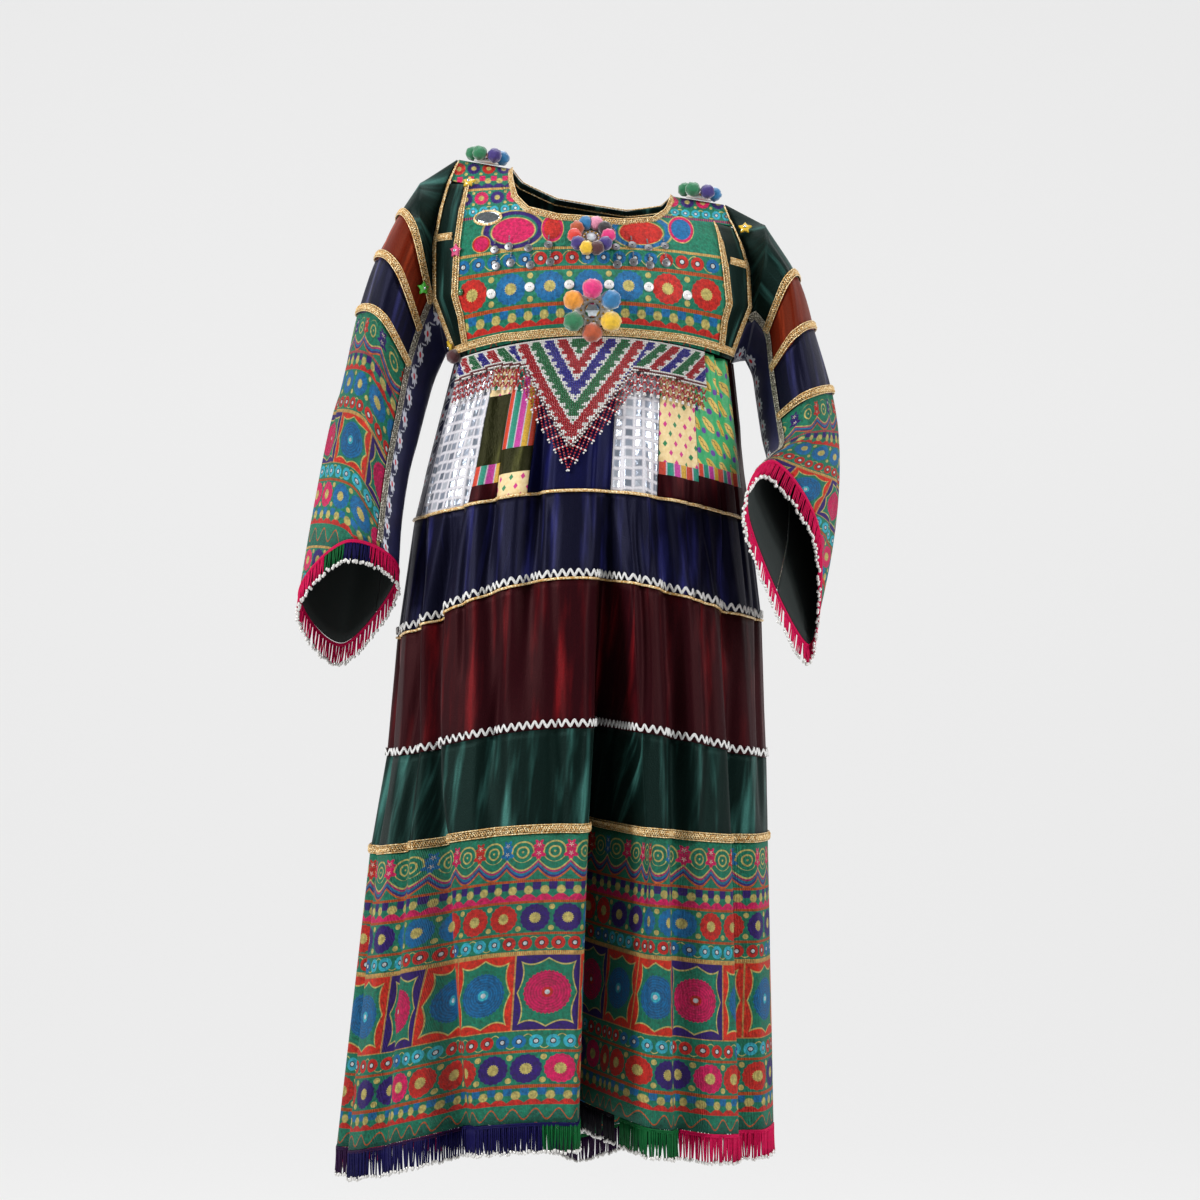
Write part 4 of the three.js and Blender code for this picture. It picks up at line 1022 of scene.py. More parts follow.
def yoke_finish(name):
    """The yoke's rows with its framed marks over them."""
    kit = Kit(name)
    u, v = kit.cloth_map()
    paint = embroider(kit, u, v, yoke_rows())
    for x, down, wide, tall, rim, heart in YOKE_MARKS:
        reach = kit.length((u - x) / wide, (v - down) / tall)
        paint = kit.blend(kit.below(reach, 1.06, 0.05), paint, GOLD)
        paint = kit.blend(kit.below(reach, 1.0, 0.05), paint, rim)
        paint = kit.blend(kit.below(reach, 0.8, 0.05), paint, heart)
    spot = kit.spot()
    paint, flecks = flecked(kit, paint, spot)
    return thread_finish(kit, paint, 0.55, u, spot, flecks)


def flowered_velvet(name):
    """Navy velvet with a braid of silver flowers down its middle."""
    kit = Kit(name)
    u, v = kit.cloth_map()
    across, _ = kit.cell(u + 13.0, 52.0)
    down, _ = kit.cell(v, 26.0)
    reach = kit.length(across, down)
    petals = kit.maths("COSINE", kit.maths("ARCTAN2", across, down) * 8.0) * 1.6
    paint = kit.blend(kit.noise(kit.spot(), 40.0), "0A0A20", "22234E")
    paint = kit.blend(kit.below(reach - petals, 7.5), paint, "C8CCD6")
    paint = kit.blend(kit.below(reach, 2.6), paint, "C2222A")
    stem = kit.maths("ABSOLUTE", across + kit.maths("SINE", v * 0.24) * 5.0)
    paint = kit.blend(kit.below(stem, 0.9) * kit.above(reach, 10.0), paint, "B4B8C2")
    return kit.finish(paint, 0.5, reach * 0.1, 0.2, Sheen_Weight=0.1,
                      Sheen_Tint="6A6CA8")


FINISHES = {}


def finish(name):
    """A finish by its name, made once for each choice of the offered colours."""
    key = (name, *[linear(colour) for colour in OFFERED])
    if key not in FINISHES:
        FINISHES[key] = MAKERS[name](name)
    return FINISHES[key]


STRIPES = ("E8482A", "169A80", "D838A8", "E8B42E")
MAKERS = {
    # The second colour of each velvet fills its painted highlight streaks.
    "green": lambda n: velvet(n, "020D0A", "green_pile", "8FD0C4"),
    "maroon": lambda n: velvet(n, "26020A", "maroon_pile", "E08A8A"),
    "navy": lambda n: velvet(n, "050518", "navy_pile", "A8AAE8"),
    "royal": lambda n: velvet(n, "07082E", "1C1F70", "9AA0F0"),
    "rust": lambda n: velvet(n, "6A1A08", "BC4422", "F8A880"),
    "olive": lambda n: velvet(n, "23260E", "7A7C3C", "D8D49A", 0.75),
    "mirrors": mirror_cloth,
    "stripes": lambda n: striped_silk(n, STRIPES, 8.0),
    "cream": lambda n: dotted_brocade(n, "F0DEB0", ("C2187A", "1E7A4A", "B8222A"), 13.0, 11.0),
    "leaf": lambda n: leaf_brocade(n, "1E8A50", ("D8B860", "C9A84A"), "5A2A90"),
    "flowered": flowered_velvet,
    "lining": lambda n: plain(n, "15201E", 0.8),
    "hem": lambda n: stitched(n, hem_rows()),
    "sleeve": lambda n: stitched(n, sleeve_rows()),
    "yoke": yoke_finish,
    "gold": lambda n: braid_finish(n, "FFF0C2", "BC8A42", 0.35),
    "silver": lambda n: braid_finish(n, "E6E2D2", "6A6458", 0.85),
    "white": lambda n: plain(n, "F2F2F0", 0.6, grain=0.2),
    "coin": lambda n: plain(n, "8E8E92", 0.4, metal=0.9),
    "glass": lambda n: plain(n, "DCE6EC", 0.06, metal=1.0),
    "button": lambda n: plain(n, "F4F4F2", 0.25, coat=0.6),
}
# Colours of the beads, wools and threads
BEADS = {"red": "B0101E", "green": "0E6E3C", "violet": "221C8C", "white": "F2F0EC",
         "blue": "1779B5", "yellow": "F3C93A", "pink": "EE5A8E", "lime": "5CE04A",
         "maroon": "6A1018", "clear": "D8DEE4", "goldbead": "D8A83A", "purple": "4A1E86"}
WOOLS = {"yellow": "F5C518", "orange": "F39A12", "red": "E8321E", "rust": "B84A12",
         "pink": "F39AB8", "hot": "E8187A", "blue": "1277B0", "green": "0C7A4A",
         "purple": "33197A", "maroon": "4A0A14", "black": "1A1216"}
# The dark thread is near-black as painted shade, for the strands under the deep fold.
THREADS = {"pink": "D00850", "navy": "100C4A", "green": "06602E", "purple": "2A0A38",
           "dark": "0A0814"}
for key, colour in BEADS.items():
    MAKERS["bead_" + key] = lambda n, c=colour: plain(n, c, 0.2, coat=0.7)
for key, colour in WOOLS.items():
    MAKERS["wool_" + key] = lambda n, c=colour: plain(n, c, 0.85, sheen=0.7, grain=0.8)
for key, colour in THREADS.items():
    MAKERS["thread_" + key] = lambda n, c=colour: plain(n, c, 0.6, gloss=0.12)


def ball_shape(level):
    """Points and faces of a round ball of radius one."""
    mesh = bmesh.new()
    bmesh.ops.create_icosphere(mesh, subdivisions=level, radius=1.0)
    points = np.array([v.co[:] for v in mesh.verts])
    faces = np.array([[v.index for v in f.verts] for f in mesh.faces])
    mesh.free()
    return points, faces


def disc_shape(sides, rim=0.8):
    """A round plate of radius one in the xy plane, a little domed, its back at z 0."""
    turns = np.linspace(0, 2 * np.pi, sides, endpoint=False)
    round_ = np.stack([np.cos(turns), np.sin(turns)], 1)
    rings = ((1.0, 0.0), (1.0, 0.6), (rim, 1.0))
    points = [(*(p * size), height) for size, height in rings for p in round_]
    faces = []
    for j in range(2):
        for i in range(sides):
            n = (i + 1) % sides
            a = j * sides
            faces.append((a + i, a + n, a + sides + n, a + sides + i))
    faces.append(tuple(range(sides - 1, -1, -1)))
    faces.append(tuple(range(2 * sides, 3 * sides)))
    return np.array(points), faces


def star_shape(arms=5, waist=0.55):
    """A star of radius one in the xy plane with a raised middle."""
    turns = np.linspace(0, 2 * np.pi, 2 * arms, endpoint=False) + np.pi / 2
    sizes = np.where(np.arange(2 * arms) % 2 == 0, 1.0, waist)
    outline = np.stack([np.cos(turns) * sizes, np.sin(turns) * sizes], 1)
    points = [(x, y, 0.0) for x, y in outline] + [(x * 0.9, y * 0.9, 1.0) for x, y in outline]
    count = 2 * arms
    faces = [(i, (i + 1) % count, count + (i + 1) % count, count + i) for i in range(count)]
    faces.append(tuple(range(count - 1, -1, -1)))
    points.append((0.0, 0.0, 1.25))
    faces += [(count + i, count + (i + 1) % count, 2 * count) for i in range(count)]
    return np.array(points), faces


BEAD = ball_shape(1)
BALL = ball_shape(3)
PLATE = disc_shape(14)
STAR = star_shape()


class Heap:
    """Gathers many small shapes into one mesh."""

    def __init__(self):
        self.points = []
        self.faces = []
        self.kinds = []
        self.count = 0
        self.names = []

    def kind(self, name):
        """The number of a finish in this heap."""
        if name not in self.names:
            self.names.append(name)
        return self.names.index(name)

    def add(self, points, faces, name):
        """Takes in one shape with its finish."""
        self.points.append(np.asarray(points, float))
        self.faces += [tuple(int(k) + self.count for k in face) for face in faces]
        self.kinds += [self.kind(name)] * len(faces)
        self.count += len(points)

    def place(self, shape, at, size, name, axes=None):
        """A shape of one size or three, turned so that its z runs along the third axis."""
        points = shape[0] * np.asarray(size, float)
        if axes is not None:
            points = points @ np.asarray(axes)
        self.add(points + np.asarray(at), shape[1], name)

    def tube(self, path, size, name, sides=5, closed=False, tip=1.0):
        """A round thread along a path; tip is its size at the end."""
        path = np.asarray(path, float)
        count = len(path)
        if closed:
            way = np.roll(path, -1, 0) - np.roll(path, 1, 0)
        else:
            way = np.gradient(path, axis=0)
        way /= np.maximum(np.linalg.norm(way, axis=1, keepdims=True), 1e-9)
        side = np.cross(way, np.where(np.abs(way[:, 2:]) > 0.9, (1, 0, 0), (0, 0, 1)))
        side /= np.maximum(np.linalg.norm(side, axis=1, keepdims=True), 1e-9)
        up = np.cross(side, way)
        wide = size * np.linspace(1, tip, count)[:, None, None]
        turns = np.linspace(0, 2 * np.pi, sides, endpoint=False)
        ring = side[:, None] * np.cos(turns)[None, :, None] + up[:, None] * np.sin(turns)[None, :, None]
        points = (path[:, None] + ring * wide).reshape(-1, 3)
        faces = []
        for j in range(count if closed else count - 1):
            a, b = j * sides, ((j + 1) % count) * sides
            for i in range(sides):
                n = (i + 1) % sides
                faces.append((a + i, a + n, b + n, b + i))
        if not closed:
            faces.append(tuple(range(sides - 1, -1, -1)))
            faces.append(tuple(range((count - 1) * sides, count * sides)))
        self.add(points, faces, name)

    def make(self, name, slot, nodes=()):
        """Makes the heap one object that stands for the nodes."""
        points = np.concatenate(self.points)
        finishes = [finish(key) for key in self.names]
        obj = link_mesh(name, points, self.faces, finishes, kinds=self.kinds)
        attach(obj, "root")
        if nodes:
            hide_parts(*nodes)
        return obj


def unit(vectors):
    """The same directions with a length of one."""
    return vectors / np.maximum(np.linalg.norm(vectors, axis=-1, keepdims=True), 1e-9)


def even_path(path, step, closed=False):
    """The path again, with points about step apart."""
    path = np.asarray(path, float)
    if closed:
        path = np.vstack([path, path[:1]])
    run = run_along(path)
    count = max(int(round(run[-1] / step)), 2)
    places = np.linspace(0, run[-1], count + 1)
    if closed:
        places = places[:-1]
    return np.stack([np.interp(places, run, path[:, k]) for k in range(3)], 1)


def braid(heap, middle, across, outward, half=4.0, name="gold", turns=8.0, size=0.75, closed=False):
    """Three threads plaited along a middle line, with a cord along each edge."""
    run = run_along(middle)
    if closed:
        whole = run[-1] + np.linalg.norm(middle[0] - middle[-1])
        turns = whole / round(whole / turns)
    turn = 2 * np.pi * run / turns
    for k in range(3):
        phase = turn + k * 2 * np.pi / 3
        path = middle + across * (np.sin(phase) * half * 0.72)[:, None]
        path = path + outward * (np.sin(2 * phase) * 0.5 + 0.3)[:, None]
        heap.tube(path, size, name, 4, closed)
    for side in (-1, 1):
        heap.tube(middle + across * side * half, size, name, 4, closed)


def plait_along(heap, path, outward, half=4.0, name="gold", closed=False, step=1.6, turns=8.0):
    """A braid along any path, with its outward directions."""
    both = np.hstack([path, outward])
    run = np.vstack([both, both[:1]]) if closed else both
    long = run_along(run[:, :3])
    places = np.linspace(0, long[-1], max(int(long[-1] / step), 4))
    if closed:
        places = places[:-1]
    dense = np.stack([np.interp(places, long, run[:, k]) for k in range(6)], 1)
    middle, out = dense[:, :3], unit(dense[:, 3:])
    if closed:
        way = np.roll(middle, -1, 0) - np.roll(middle, 1, 0)
    else:
        way = np.gradient(middle, axis=0)
    across = unit(np.cross(unit(way), out))
    braid(heap, middle, across, out, half, name, turns, closed=closed)


def on_bodice(x, z, lift=0.0):
    """The point of the front bodice at a place seen from the front, in millimetres."""
    x, z, lift = same_shape(x, z, lift)
    high = z.copy()
    for _ in range(6):
        fade = np.clip((high + DROP_END) / DROP_END, 0, 1) ** 1.5
        high = z + SHOULDER_DROP * (x - DROP_CENTRE) * fade
    left, right = (np.interp(-high, -np.asarray(BODICE_Z, float), BODICE[k]) for k in ("left", "right"))
    angle = np.degrees(np.arcsin(np.clip((x - (left + right) / 2) / ((right - left) / 2), -1, 1)))
    return bodice_point(angle, high, lift)


def bodice_axes(x, z):
    """Across, up and outward at a place on the front bodice, as rows."""
    across = unit(on_bodice(x + 4, z) - on_bodice(x - 4, z))
    up = unit(on_bodice(x, z + 4) - on_bodice(x, z - 4))
    out = unit(np.cross(across, up))
    if out[1] > 0:
        out = -out
    return np.stack([across, np.cross(out, across), out])


def tier_grid(first, last, rows, angles, drop=0.3):
    """A grid of the skirt between two places, its upper edge a little below the seam."""
    places = np.linspace(first, last, rows)
    grid = skirt_point(angles[None, :], places[:, None])
    grid[0, :, 2] -= drop
    return grid


def even_angles(count, place):
    """Angles round the skirt with columns about evenly spaced along its folds."""
    fine = np.linspace(-180, 180, 2881)
    run = skirt_point(fine, np.full_like(fine, place))
    long = run_along(run)
    return np.interp(np.linspace(0, long[-1], count, endpoint=False), long, fine)


# Tiers: first and last section, rows of points, finish, slot and the piece above
TIERS = (
    ("navy_tier", 1, 2, 15, "navy", "navy_velvet", "patch_royal"),
    ("maroon_tier", 2, 3, 16, "maroon", "maroon_velvet", "navy_tier"),
    ("green_tier", 3, 4, 13, "green", "green_velvet", "maroon_tier"),
    ("hem_band", 4, 5, 32, "hem", "embroidered_cloth", "green_tier"),
)


def make_tiers():
    """The velvet tiers and the embroidered hem band."""
    angles = even_angles(640, 4.6)
    for name, first, last, rows, cloth, slot, above in TIERS:
        grid = tier_grid(first, last, rows, angles)
        uv = None
        if name == "hem_band":
            uv = band_map(grid, 345.0)
        cloth_piece("cloth_" + name, grid, True, finish(cloth), name, uv)


def band_map(grid, tall):
    """Lengths for a band whose rows of stitching follow its edges, in metres."""
    ring = np.linalg.norm(np.diff(np.concatenate([grid, grid[:, :1]], 1), axis=1), axis=-1)
    long = np.concatenate([[0], np.cumsum(ring.mean(0))])
    pitch = 36.5
    long *= round(long[-1] / pitch) * pitch / long[-1]
    down = np.linspace(0, tall, grid.shape[0])
    u = np.broadcast_to(long, (grid.shape[0], len(long)))
    v = np.broadcast_to(down[:, None], u.shape)
    return np.stack([u, v], -1) * MM


# Patch strips: first and last angle, slot, and each cloth down to its share of the height
PATCHES = (
    ("patch_mirror_left", -71, -41, "mirror_cloth", (("mirrors", 1.0),)),
    ("patch_olive", -41, -31, "olive_velvet",
     (("cream", 0.3), ("olive", 0.74), ("stripes", 0.88), ("maroon", 1.0))),
    ("patch_stripes", -31, -19, "brocade", (("stripes", 0.68), ("olive", 0.84), ("cream", 1.0))),
    ("patch_royal", -19, 10, "navy_velvet", (("royal", 1.0),)),
    ("patch_mirror_right", 10, 27, "mirror_cloth", (("mirrors", 1.0),)),
    ("patch_cream", 27, 43, "brocade", (("cream", 0.74), ("stripes", 0.82), ("maroon", 1.0))),
    ("patch_brocade", 43, 72, "brocade", (("leaf", 0.72), ("stripes", 0.8), ("maroon", 1.0))),
    ("patch_side_right", 72, 108, "maroon_velvet", (("maroon", 1.0),)),
    ("patch_back_right", 108, 144, "navy_velvet", (("royal", 1.0),)),
    ("patch_back_middle_right", 144, 180, "olive_velvet", (("olive", 1.0),)),
    ("patch_back_middle_left", 180, 216, "brocade", (("cream", 0.7), ("leaf", 1.0))),
    ("patch_back_left", 216, 252, "maroon_velvet", (("maroon", 1.0),)),
    ("patch_side_left", 252, 289, "navy_velvet", (("flowered", 1.0),)),
)


def make_patches():
    """The strips of the patchwork tier, each in bands of its cloths."""
    rows = 26
    for name, first, last, slot, bands in PATCHES:
        columns = max(12, int((last - first) * 2.0))
        angles = np.linspace(first + 0.1, last - 0.1, columns)
        grid = tier_grid(0, 1, rows, angles, 0.3)
        obj = cloth_piece("cloth_" + name, grid, False, finish(bands[0][0]), name)
        ends = [until for _, until in bands]
        for key, _ in bands[1:]:
            obj.data.materials.append(finish(key))
        for face in obj.data.polygons:
            share = (face.index // (columns - 1) + 0.5) / (rows - 1)
            face.material_index = sum(share > end for end in ends[:-1])


def make_bodice():
    """The yoke, the back and the side panels."""
    shares = np.concatenate([np.linspace(0, 0.12, 7), np.linspace(0.12, 0.135, 9)[1:],
                             np.linspace(0.135, 1, 27)[1:]])
    side = np.interp(shares, YOKE_SHARE, YOKE_ANGLE)
    across = np.linspace(-1, 1, 97)
    angles = across[None, :] * (side[:, None] - SIDE_GAP)
    front = yoke_point(angles, shares[:, None])
    fall = (waist_height(angles) - waist_height(np.zeros(1))) * shares[:, None]
    front_map = np.stack([front[..., 0], fall - front[..., 2]], -1) * MM
    cloth_piece("cloth_bodice_front", front, False, finish("yoke"), "bodice_front",
                front_map)
    angles = np.broadcast_to(across * (ARMHOLE_ANGLE - SIDE_GAP), (len(shares), len(across)))
    back = back_point(angles, shares[:, None])
    cloth_piece("cloth_bodice_back", back, False, finish("green"), "bodice_back",
                None)
    low = np.linspace(0.141, 1, 28)
    edge = np.interp(low, YOKE_SHARE, YOKE_ANGLE)
    for label, sign in (("left", -1), ("right", 1)):
        steps = np.linspace(PANEL_START, 1, 9)[None, ::sign]
        wide = ARMHOLE_ANGLE - SIDE_GAP - edge[:, None]
        angles = sign * (edge[:, None] + wide * steps)
        grid = yoke_point(angles, low[:, None])
        cloth_piece("cloth_side_panel_" + label, grid, False, finish("green"),
                    "side_panel_" + label, None)


# Sleeve pieces: first and last section, which is 0 for the cuff, finish and slot
SLEEVE_PARTS = (
    ("cap", 0, 2, "green", "green_velvet"),
    ("rust", 2, 3, "rust", "rust_velvet"),
    ("navy", 3, 4, "navy", "navy_velvet"),
    ("embroidered", 4, 0, "sleeve", "embroidered_cloth"),
)


def sleeve_grid(label, first, last, columns, places):
    """Rows from the top, columns turned so that the outward side is the same on both sleeves."""
    turns = np.linspace(first, last, columns)
    if label == "right":
        turns = 1 - turns
    return sleeve_point(label, turns[None, :], np.asarray(places)[:, None])


def make_sleeves():
    """Both sleeves, each of four pieces and a gusset."""
    first, last = 0.5 + GUSSET_HALF, 1.5 - GUSSET_HALF
    for label, (_, sections) in SLEEVES.items():
        end = len(sections)
        for part, top, low, cloth, slot in SLEEVE_PARTS:
            low = low or end
            places = np.linspace(top + (SEAM_SHARE if top else 0), low, int((low - top) * 8) + 1)
            grid = sleeve_grid(label, first + SEAM_SHARE, last - SEAM_SHARE, 97, places)
            grid = rumple(grid, places)
            name = "sleeve_%s_%s" % (label, part)
            cloth_piece("cloth_" + name, grid, False, finish(cloth), name, None,
                        "lining")
        places = np.linspace(0, end, end * 6 + 1)
        grid = sleeve_grid(label, 0.5 - GUSSET_HALF + SEAM_SHARE,
                           0.5 + GUSSET_HALF - SEAM_SHARE, 25, places)
        name = "sleeve_%s_gusset" % label
        cloth_piece("cloth_" + name, grid, False, finish("flowered"), name, None,
                    "lining")


# Soft creases of the sleeves: share round, section, slant, half width round and depth
SLEEVE_CREASES = (
    (0.18, 1.2, 0.02, 0.05, 3.0), (0.86, 1.6, -0.03, 0.06, 3.0), (0.08, 3.4, 0.05, 0.05, 3.0),
    (0.3, 2.6, -0.04, 0.045, 3.0), (0.94, 4.2, -0.03, 0.05, 3.5), (0.22, 4.8, 0.04, 0.045, 3.0),
    (0.04, 6.0, 0.05, 0.05, 4.0), (0.76, 3.6, 0.03, 0.05, 3.0), (0.84, 5.6, 0.04, 0.05, 4.0),
)


def rumple(grid, places):
    """Presses the soft creases into a sleeve's grid, none of them at its seams."""
    normals = grid_normals(grid, False)
    turns = np.linspace(0.5 + GUSSET_HALF, 1.5 - GUSSET_HALF, grid.shape[1])[None, :]
    rows = np.asarray(places)[:, None]
    depth = np.zeros(grid.shape[:2])
    for centre, middle, slant, half, deep in SLEEVE_CREASES:
        off = turns - (centre + slant * (rows - middle))
        off = off - np.round(off)
        fade = np.clip(1 - np.abs(rows - middle) / 1.5, 0, 1)
        shape = np.where(np.abs(off) < half, 0.5 + 0.5 * np.cos(np.pi * off / half), 0)
        depth += deep * fade * shape
    return grid - normals * depth[..., None]


def around(place, lift, step=3.0):
    """A closed path round the skirt at a section's place, and its outward directions."""
    fine = np.linspace(-180, 180, 1440, endpoint=False)
    path = even_path(skirt_point(fine, np.full_like(fine, place)), step, closed=True)
    way = unit(np.roll(path, -1, 0) - np.roll(path, 1, 0))
    out = unit(np.stack([way[:, 1], -way[:, 0], np.zeros(len(way))], 1))
    return path + out * lift, out


def make_skirt_trims():
    """The ric-rac, the braid above the hem band and the piping."""
    for name, place in (("ricrac_navy", 1.945), ("ricrac_maroon", 1 + 1.965)):
        path, out = around(place, 2.2, 1.1)
        run = np.arange(len(path)) * 2 * np.pi / 8
        waves = round(len(path) / 8) * 8 / len(path)
        swing = np.sin(run * waves) * 3.0
        heap = Heap()
        for shift in (-1.1, 0.0, 1.1):
            heap.tube(path + np.stack([0 * swing, 0 * swing, swing + shift], 1), 0.85, "white",
                      4, closed=True)
        heap.make("trim_" + name, "white_trim", [name])
    path, out = around(3.965, 2.0, 1.6)
    heap = Heap()
    plait_along(heap, path, out, 4.3, "gold", closed=True)
    heap.make("trim_braid_hem_band", "gold_braid", ["braid_hem_band"])
    heap = Heap()
    for place, lift, size in ((0.992, 1.0, 1.9), (2.004, 1.0, 1.5)):
        path, out = around(place, lift, 3.0)
        heap.tube(path, size, "gold", 6, closed=True)
    heap.make("trim_piping", "gold_braid")


def make_sleeve_braids():
    """The braids over the sleeves' seams."""
    first, last = 0.5 + GUSSET_HALF, 1.5 - GUSSET_HALF
    for label, (_, sections) in SLEEVES.items():
        for part, place in (("cap", 1.93), ("rust", 2.92), ("navy", 3.92)):
            places = [place - 0.06, place, place + 0.06]
            grid = sleeve_grid(label, first + 0.004, last - 0.004, 120, places)
            out = grid_normals(grid, False)[1]
            heap = Heap()
            plait_along(heap, grid[1] + out * 2.2, out, 4.0)
            name = "braid_sleeve_%s_%s" % (label, part)
            heap.make("trim_" + name, "gold_braid", [name])
        heap = Heap()
        places = np.linspace(0.2, len(sections) - 0.1, 90)
        for turn in (first + 0.006, last - 0.006):
            grid = sleeve_grid(label, turn - 0.01, turn + 0.01, 3, places)
            out = grid_normals(grid, False)[:, 1]
            plait_along(heap, grid[:, 1] + out * 1.4, out, 3.6, "silver")
        heap.make("trim_seam_sleeve_%s" % label, "gold_braid")


def bodice_out(path):
    """Outward directions along a path on the bodice, away from its upright middle line."""
    out = np.array(path)
    out[:, 0] = (out[:, 0] - BODICE_MIDDLE) / 2
    out[:, 2] = np.clip((out[:, 2] + 60) * 0.6, 0, 60)
    return unit(out)


# Where the bodice's braids run: angle at the armholes, shares down at the neck and waist
ARMHOLE_BRAID = 73.0
NECK_BRAID = 0.012
WAIST_BRAID = 0.965


def make_yoke_trims():
    """The braids at the neck, the yoke's edges, the armholes and the waist."""
    heap = Heap()
    angles = np.linspace(-NECK_HALF, NECK_HALF, 90)
    front = yoke_point(angles, np.zeros_like(angles) + NECK_BRAID, 1.6)
    plait_along(heap, front, bodice_out(front), 4.0)
    angles = np.linspace(-NECK_HALF, NECK_HALF, 60)
    back = back_point(angles, np.zeros_like(angles) + NECK_BRAID, 1.6)
    plait_along(heap, back, bodice_out(back), 4.0)
    for side in (-1, 1):
        shares = np.linspace(0.15, 0.97, 60)
        edge = side * np.interp(shares, YOKE_SHARE, YOKE_ANGLE)
        path = yoke_point(edge, shares, 1.4)
        plait_along(heap, path, bodice_out(path), 4.3)
        shares = np.linspace(0.02, 0.97, 60)
        for make, angle in ((yoke_point, side * ARMHOLE_BRAID), (back_point, -side * ARMHOLE_BRAID)):
            path = make(np.full_like(shares, angle), shares, 1.4)
            plait_along(heap, path, bodice_out(path), 3.8)
        across = np.linspace(58, 74, 20) * side
        path = yoke_point(across, np.full_like(across, 0.42), 1.4)
        plait_along(heap, path, bodice_out(path), 3.4)
    angles = np.linspace(-74, 74, 140)
    low = yoke_point(angles, np.full_like(angles, WAIST_BRAID), 1.6)
    plait_along(heap, low, bodice_out(low), 4.0)
    low = back_point(angles, np.full_like(angles, WAIST_BRAID), 1.6)
    plait_along(heap, low, bodice_out(low), 4.0)
    heap.make("trim_yoke_braids", "gold_braid")


# The bead panel's lower edge: millimetres below the waist by angle
BEAD_ANGLE = (-66, -39, -26, -5, 16, 49)
BEAD_DROP = (30, 24, 30, 128, 38, 42)
BEAD_MIDDLE = -5.0
BEAD_LIFT = 2.5
BEAD_FILL = 0.6               # a bead's radius as a share of the pitch
BEAD_TOP = 2.2
PATCH_TALL = 174.0
# The net: its width, its cells, how far its threads lean, beads on a thread and their sizes
NET_WIDTH = 24.0
NET_CELL = 7.4
NET_LEAN = 0.5
NET_STEPS = 13
NET_BEADS = (1.25, 1.45)


def bead_point(angle, drop, lift=BEAD_LIFT):
    """A point over the gathers by millimetres below the waist."""
    return skirt_point(angle, np.maximum(drop, 0) / PATCH_TALL, lift, smooth=True)


def bead_columns(pitch):
    """Angles across the bead panel with that distance between them, and their distance
    from the panel's middle."""
    fine = np.linspace(BEAD_ANGLE[0], BEAD_ANGLE[-1], 400)
    run = bead_point(fine, np.full_like(fine, 20.0))
    long = run_along(run)
    count = int(long[-1] / pitch)
    angles = np.interp((np.arange(count) + 0.5) * long[-1] / count, long, fine)
    return angles, np.interp(angles, fine, long) - np.interp(BEAD_MIDDLE, fine, long)


CHEVRON_PITCH = 15.5          # across the panel, from one coloured stripe to the next
CHEVRON_LEAN = 0.64           # how far a stripe of the middle part moves across for its drop
WING_LEAN = 1.05              # the same for the wings' stripes
WING_START = 84.0             # from the panel's middle
EDGE_BANDS = (2.0, 4.4, 6.4)  # white, maroon and white again, from the lower edge up
TOP_BAND = 3.0
LINE_SHARE = 0.15             # of a stripe, for the white line beside it
HOOK_SHARE = 0.78             # of a stripe, where its white hooks start
HOOK_STEP = 3.9


def bead_colour(x, drop, edge):
    """The bead's colour: nested chevrons in the middle and slanted stripes on the wings."""
    near = edge - drop
    if near < EDGE_BANDS[0] or EDGE_BANDS[1] < near < EDGE_BANDS[2]:
        return "white"
    if near <= EDGE_BANDS[1]:
        return "maroon"
    if drop < TOP_BAND:
        return "white"
    reach = abs(x)
    lean = CHEVRON_LEAN if reach + drop * CHEVRON_LEAN < WING_START else WING_LEAN
    step = (reach + drop * lean) / CHEVRON_PITCH
    share = step - math.floor(step)
    if share < LINE_SHARE:
        return "white"
    if share > HOOK_SHARE and (drop / HOOK_STEP) % 2 > 1:
        return "white"
    return ("green", "red", "violet")[int(math.floor(step)) % 3]


def make_bead_panel():
    """The apron's beads and the cloth under them."""
    pitch = bpy.context.scene.dress.bead_pitch / MM
    size = pitch * BEAD_FILL
    angles, across = bead_columns(pitch)
    panel = Heap()
    for angle, x in zip(angles, across):
        edge = float(np.interp(angle, BEAD_ANGLE, BEAD_DROP))
        for drop in np.arange(BEAD_TOP, edge - 0.4, pitch * 0.9):
            at = bead_point(angle, drop)
            panel.place(BEAD, at, size, "bead_" + bead_colour(x, drop, edge))
    panel.make("beads_panel", "beads", ["bead_panel"])
    grid_angles = np.linspace(BEAD_ANGLE[0] + 0.4, BEAD_ANGLE[-1] - 0.4, 96)
    edges = np.interp(grid_angles, BEAD_ANGLE, BEAD_DROP)
    share = np.linspace(0, 1, 24)[:, None]
    drop = BEAD_TOP + (edges[None, :] - 3.4) * share
    grid = bead_point(grid_angles[None, :], drop, BEAD_LIFT - 0.5)
    cloth_piece("cloth_bead_ground", grid, False, finish("bead_maroon"), None)


def make_bead_net():
    """Threads of beads that slant both ways below the panel's edge and meet in white beads."""
    angles, across = bead_columns(1.0)
    net = Heap()
    for way in (-1, 1):
        for start in np.arange(across[0], across[-1], NET_CELL):
            for k in range(NET_STEPS + 1):
                down = NET_WIDTH * k / NET_STEPS
                x = start + way * NET_LEAN * down
                if not across[0] + 1 < x < across[-1] - 1:
                    continue
                angle = float(np.interp(x, across, angles))
                top = float(np.interp(angle, BEAD_ANGLE, BEAD_DROP))
                at = bead_point(angle, top + 0.8 + down * 0.97, BEAD_LIFT + 0.2)
                meets = abs((2 * NET_LEAN * down / NET_CELL) % 1 - 0.5) > 0.43
                net.place(BEAD, at, NET_BEADS[int(meets)],
                          "bead_white" if meets or k == NET_STEPS else "bead_red")
    net.make("beads_net", "beads", ["bead_net"])


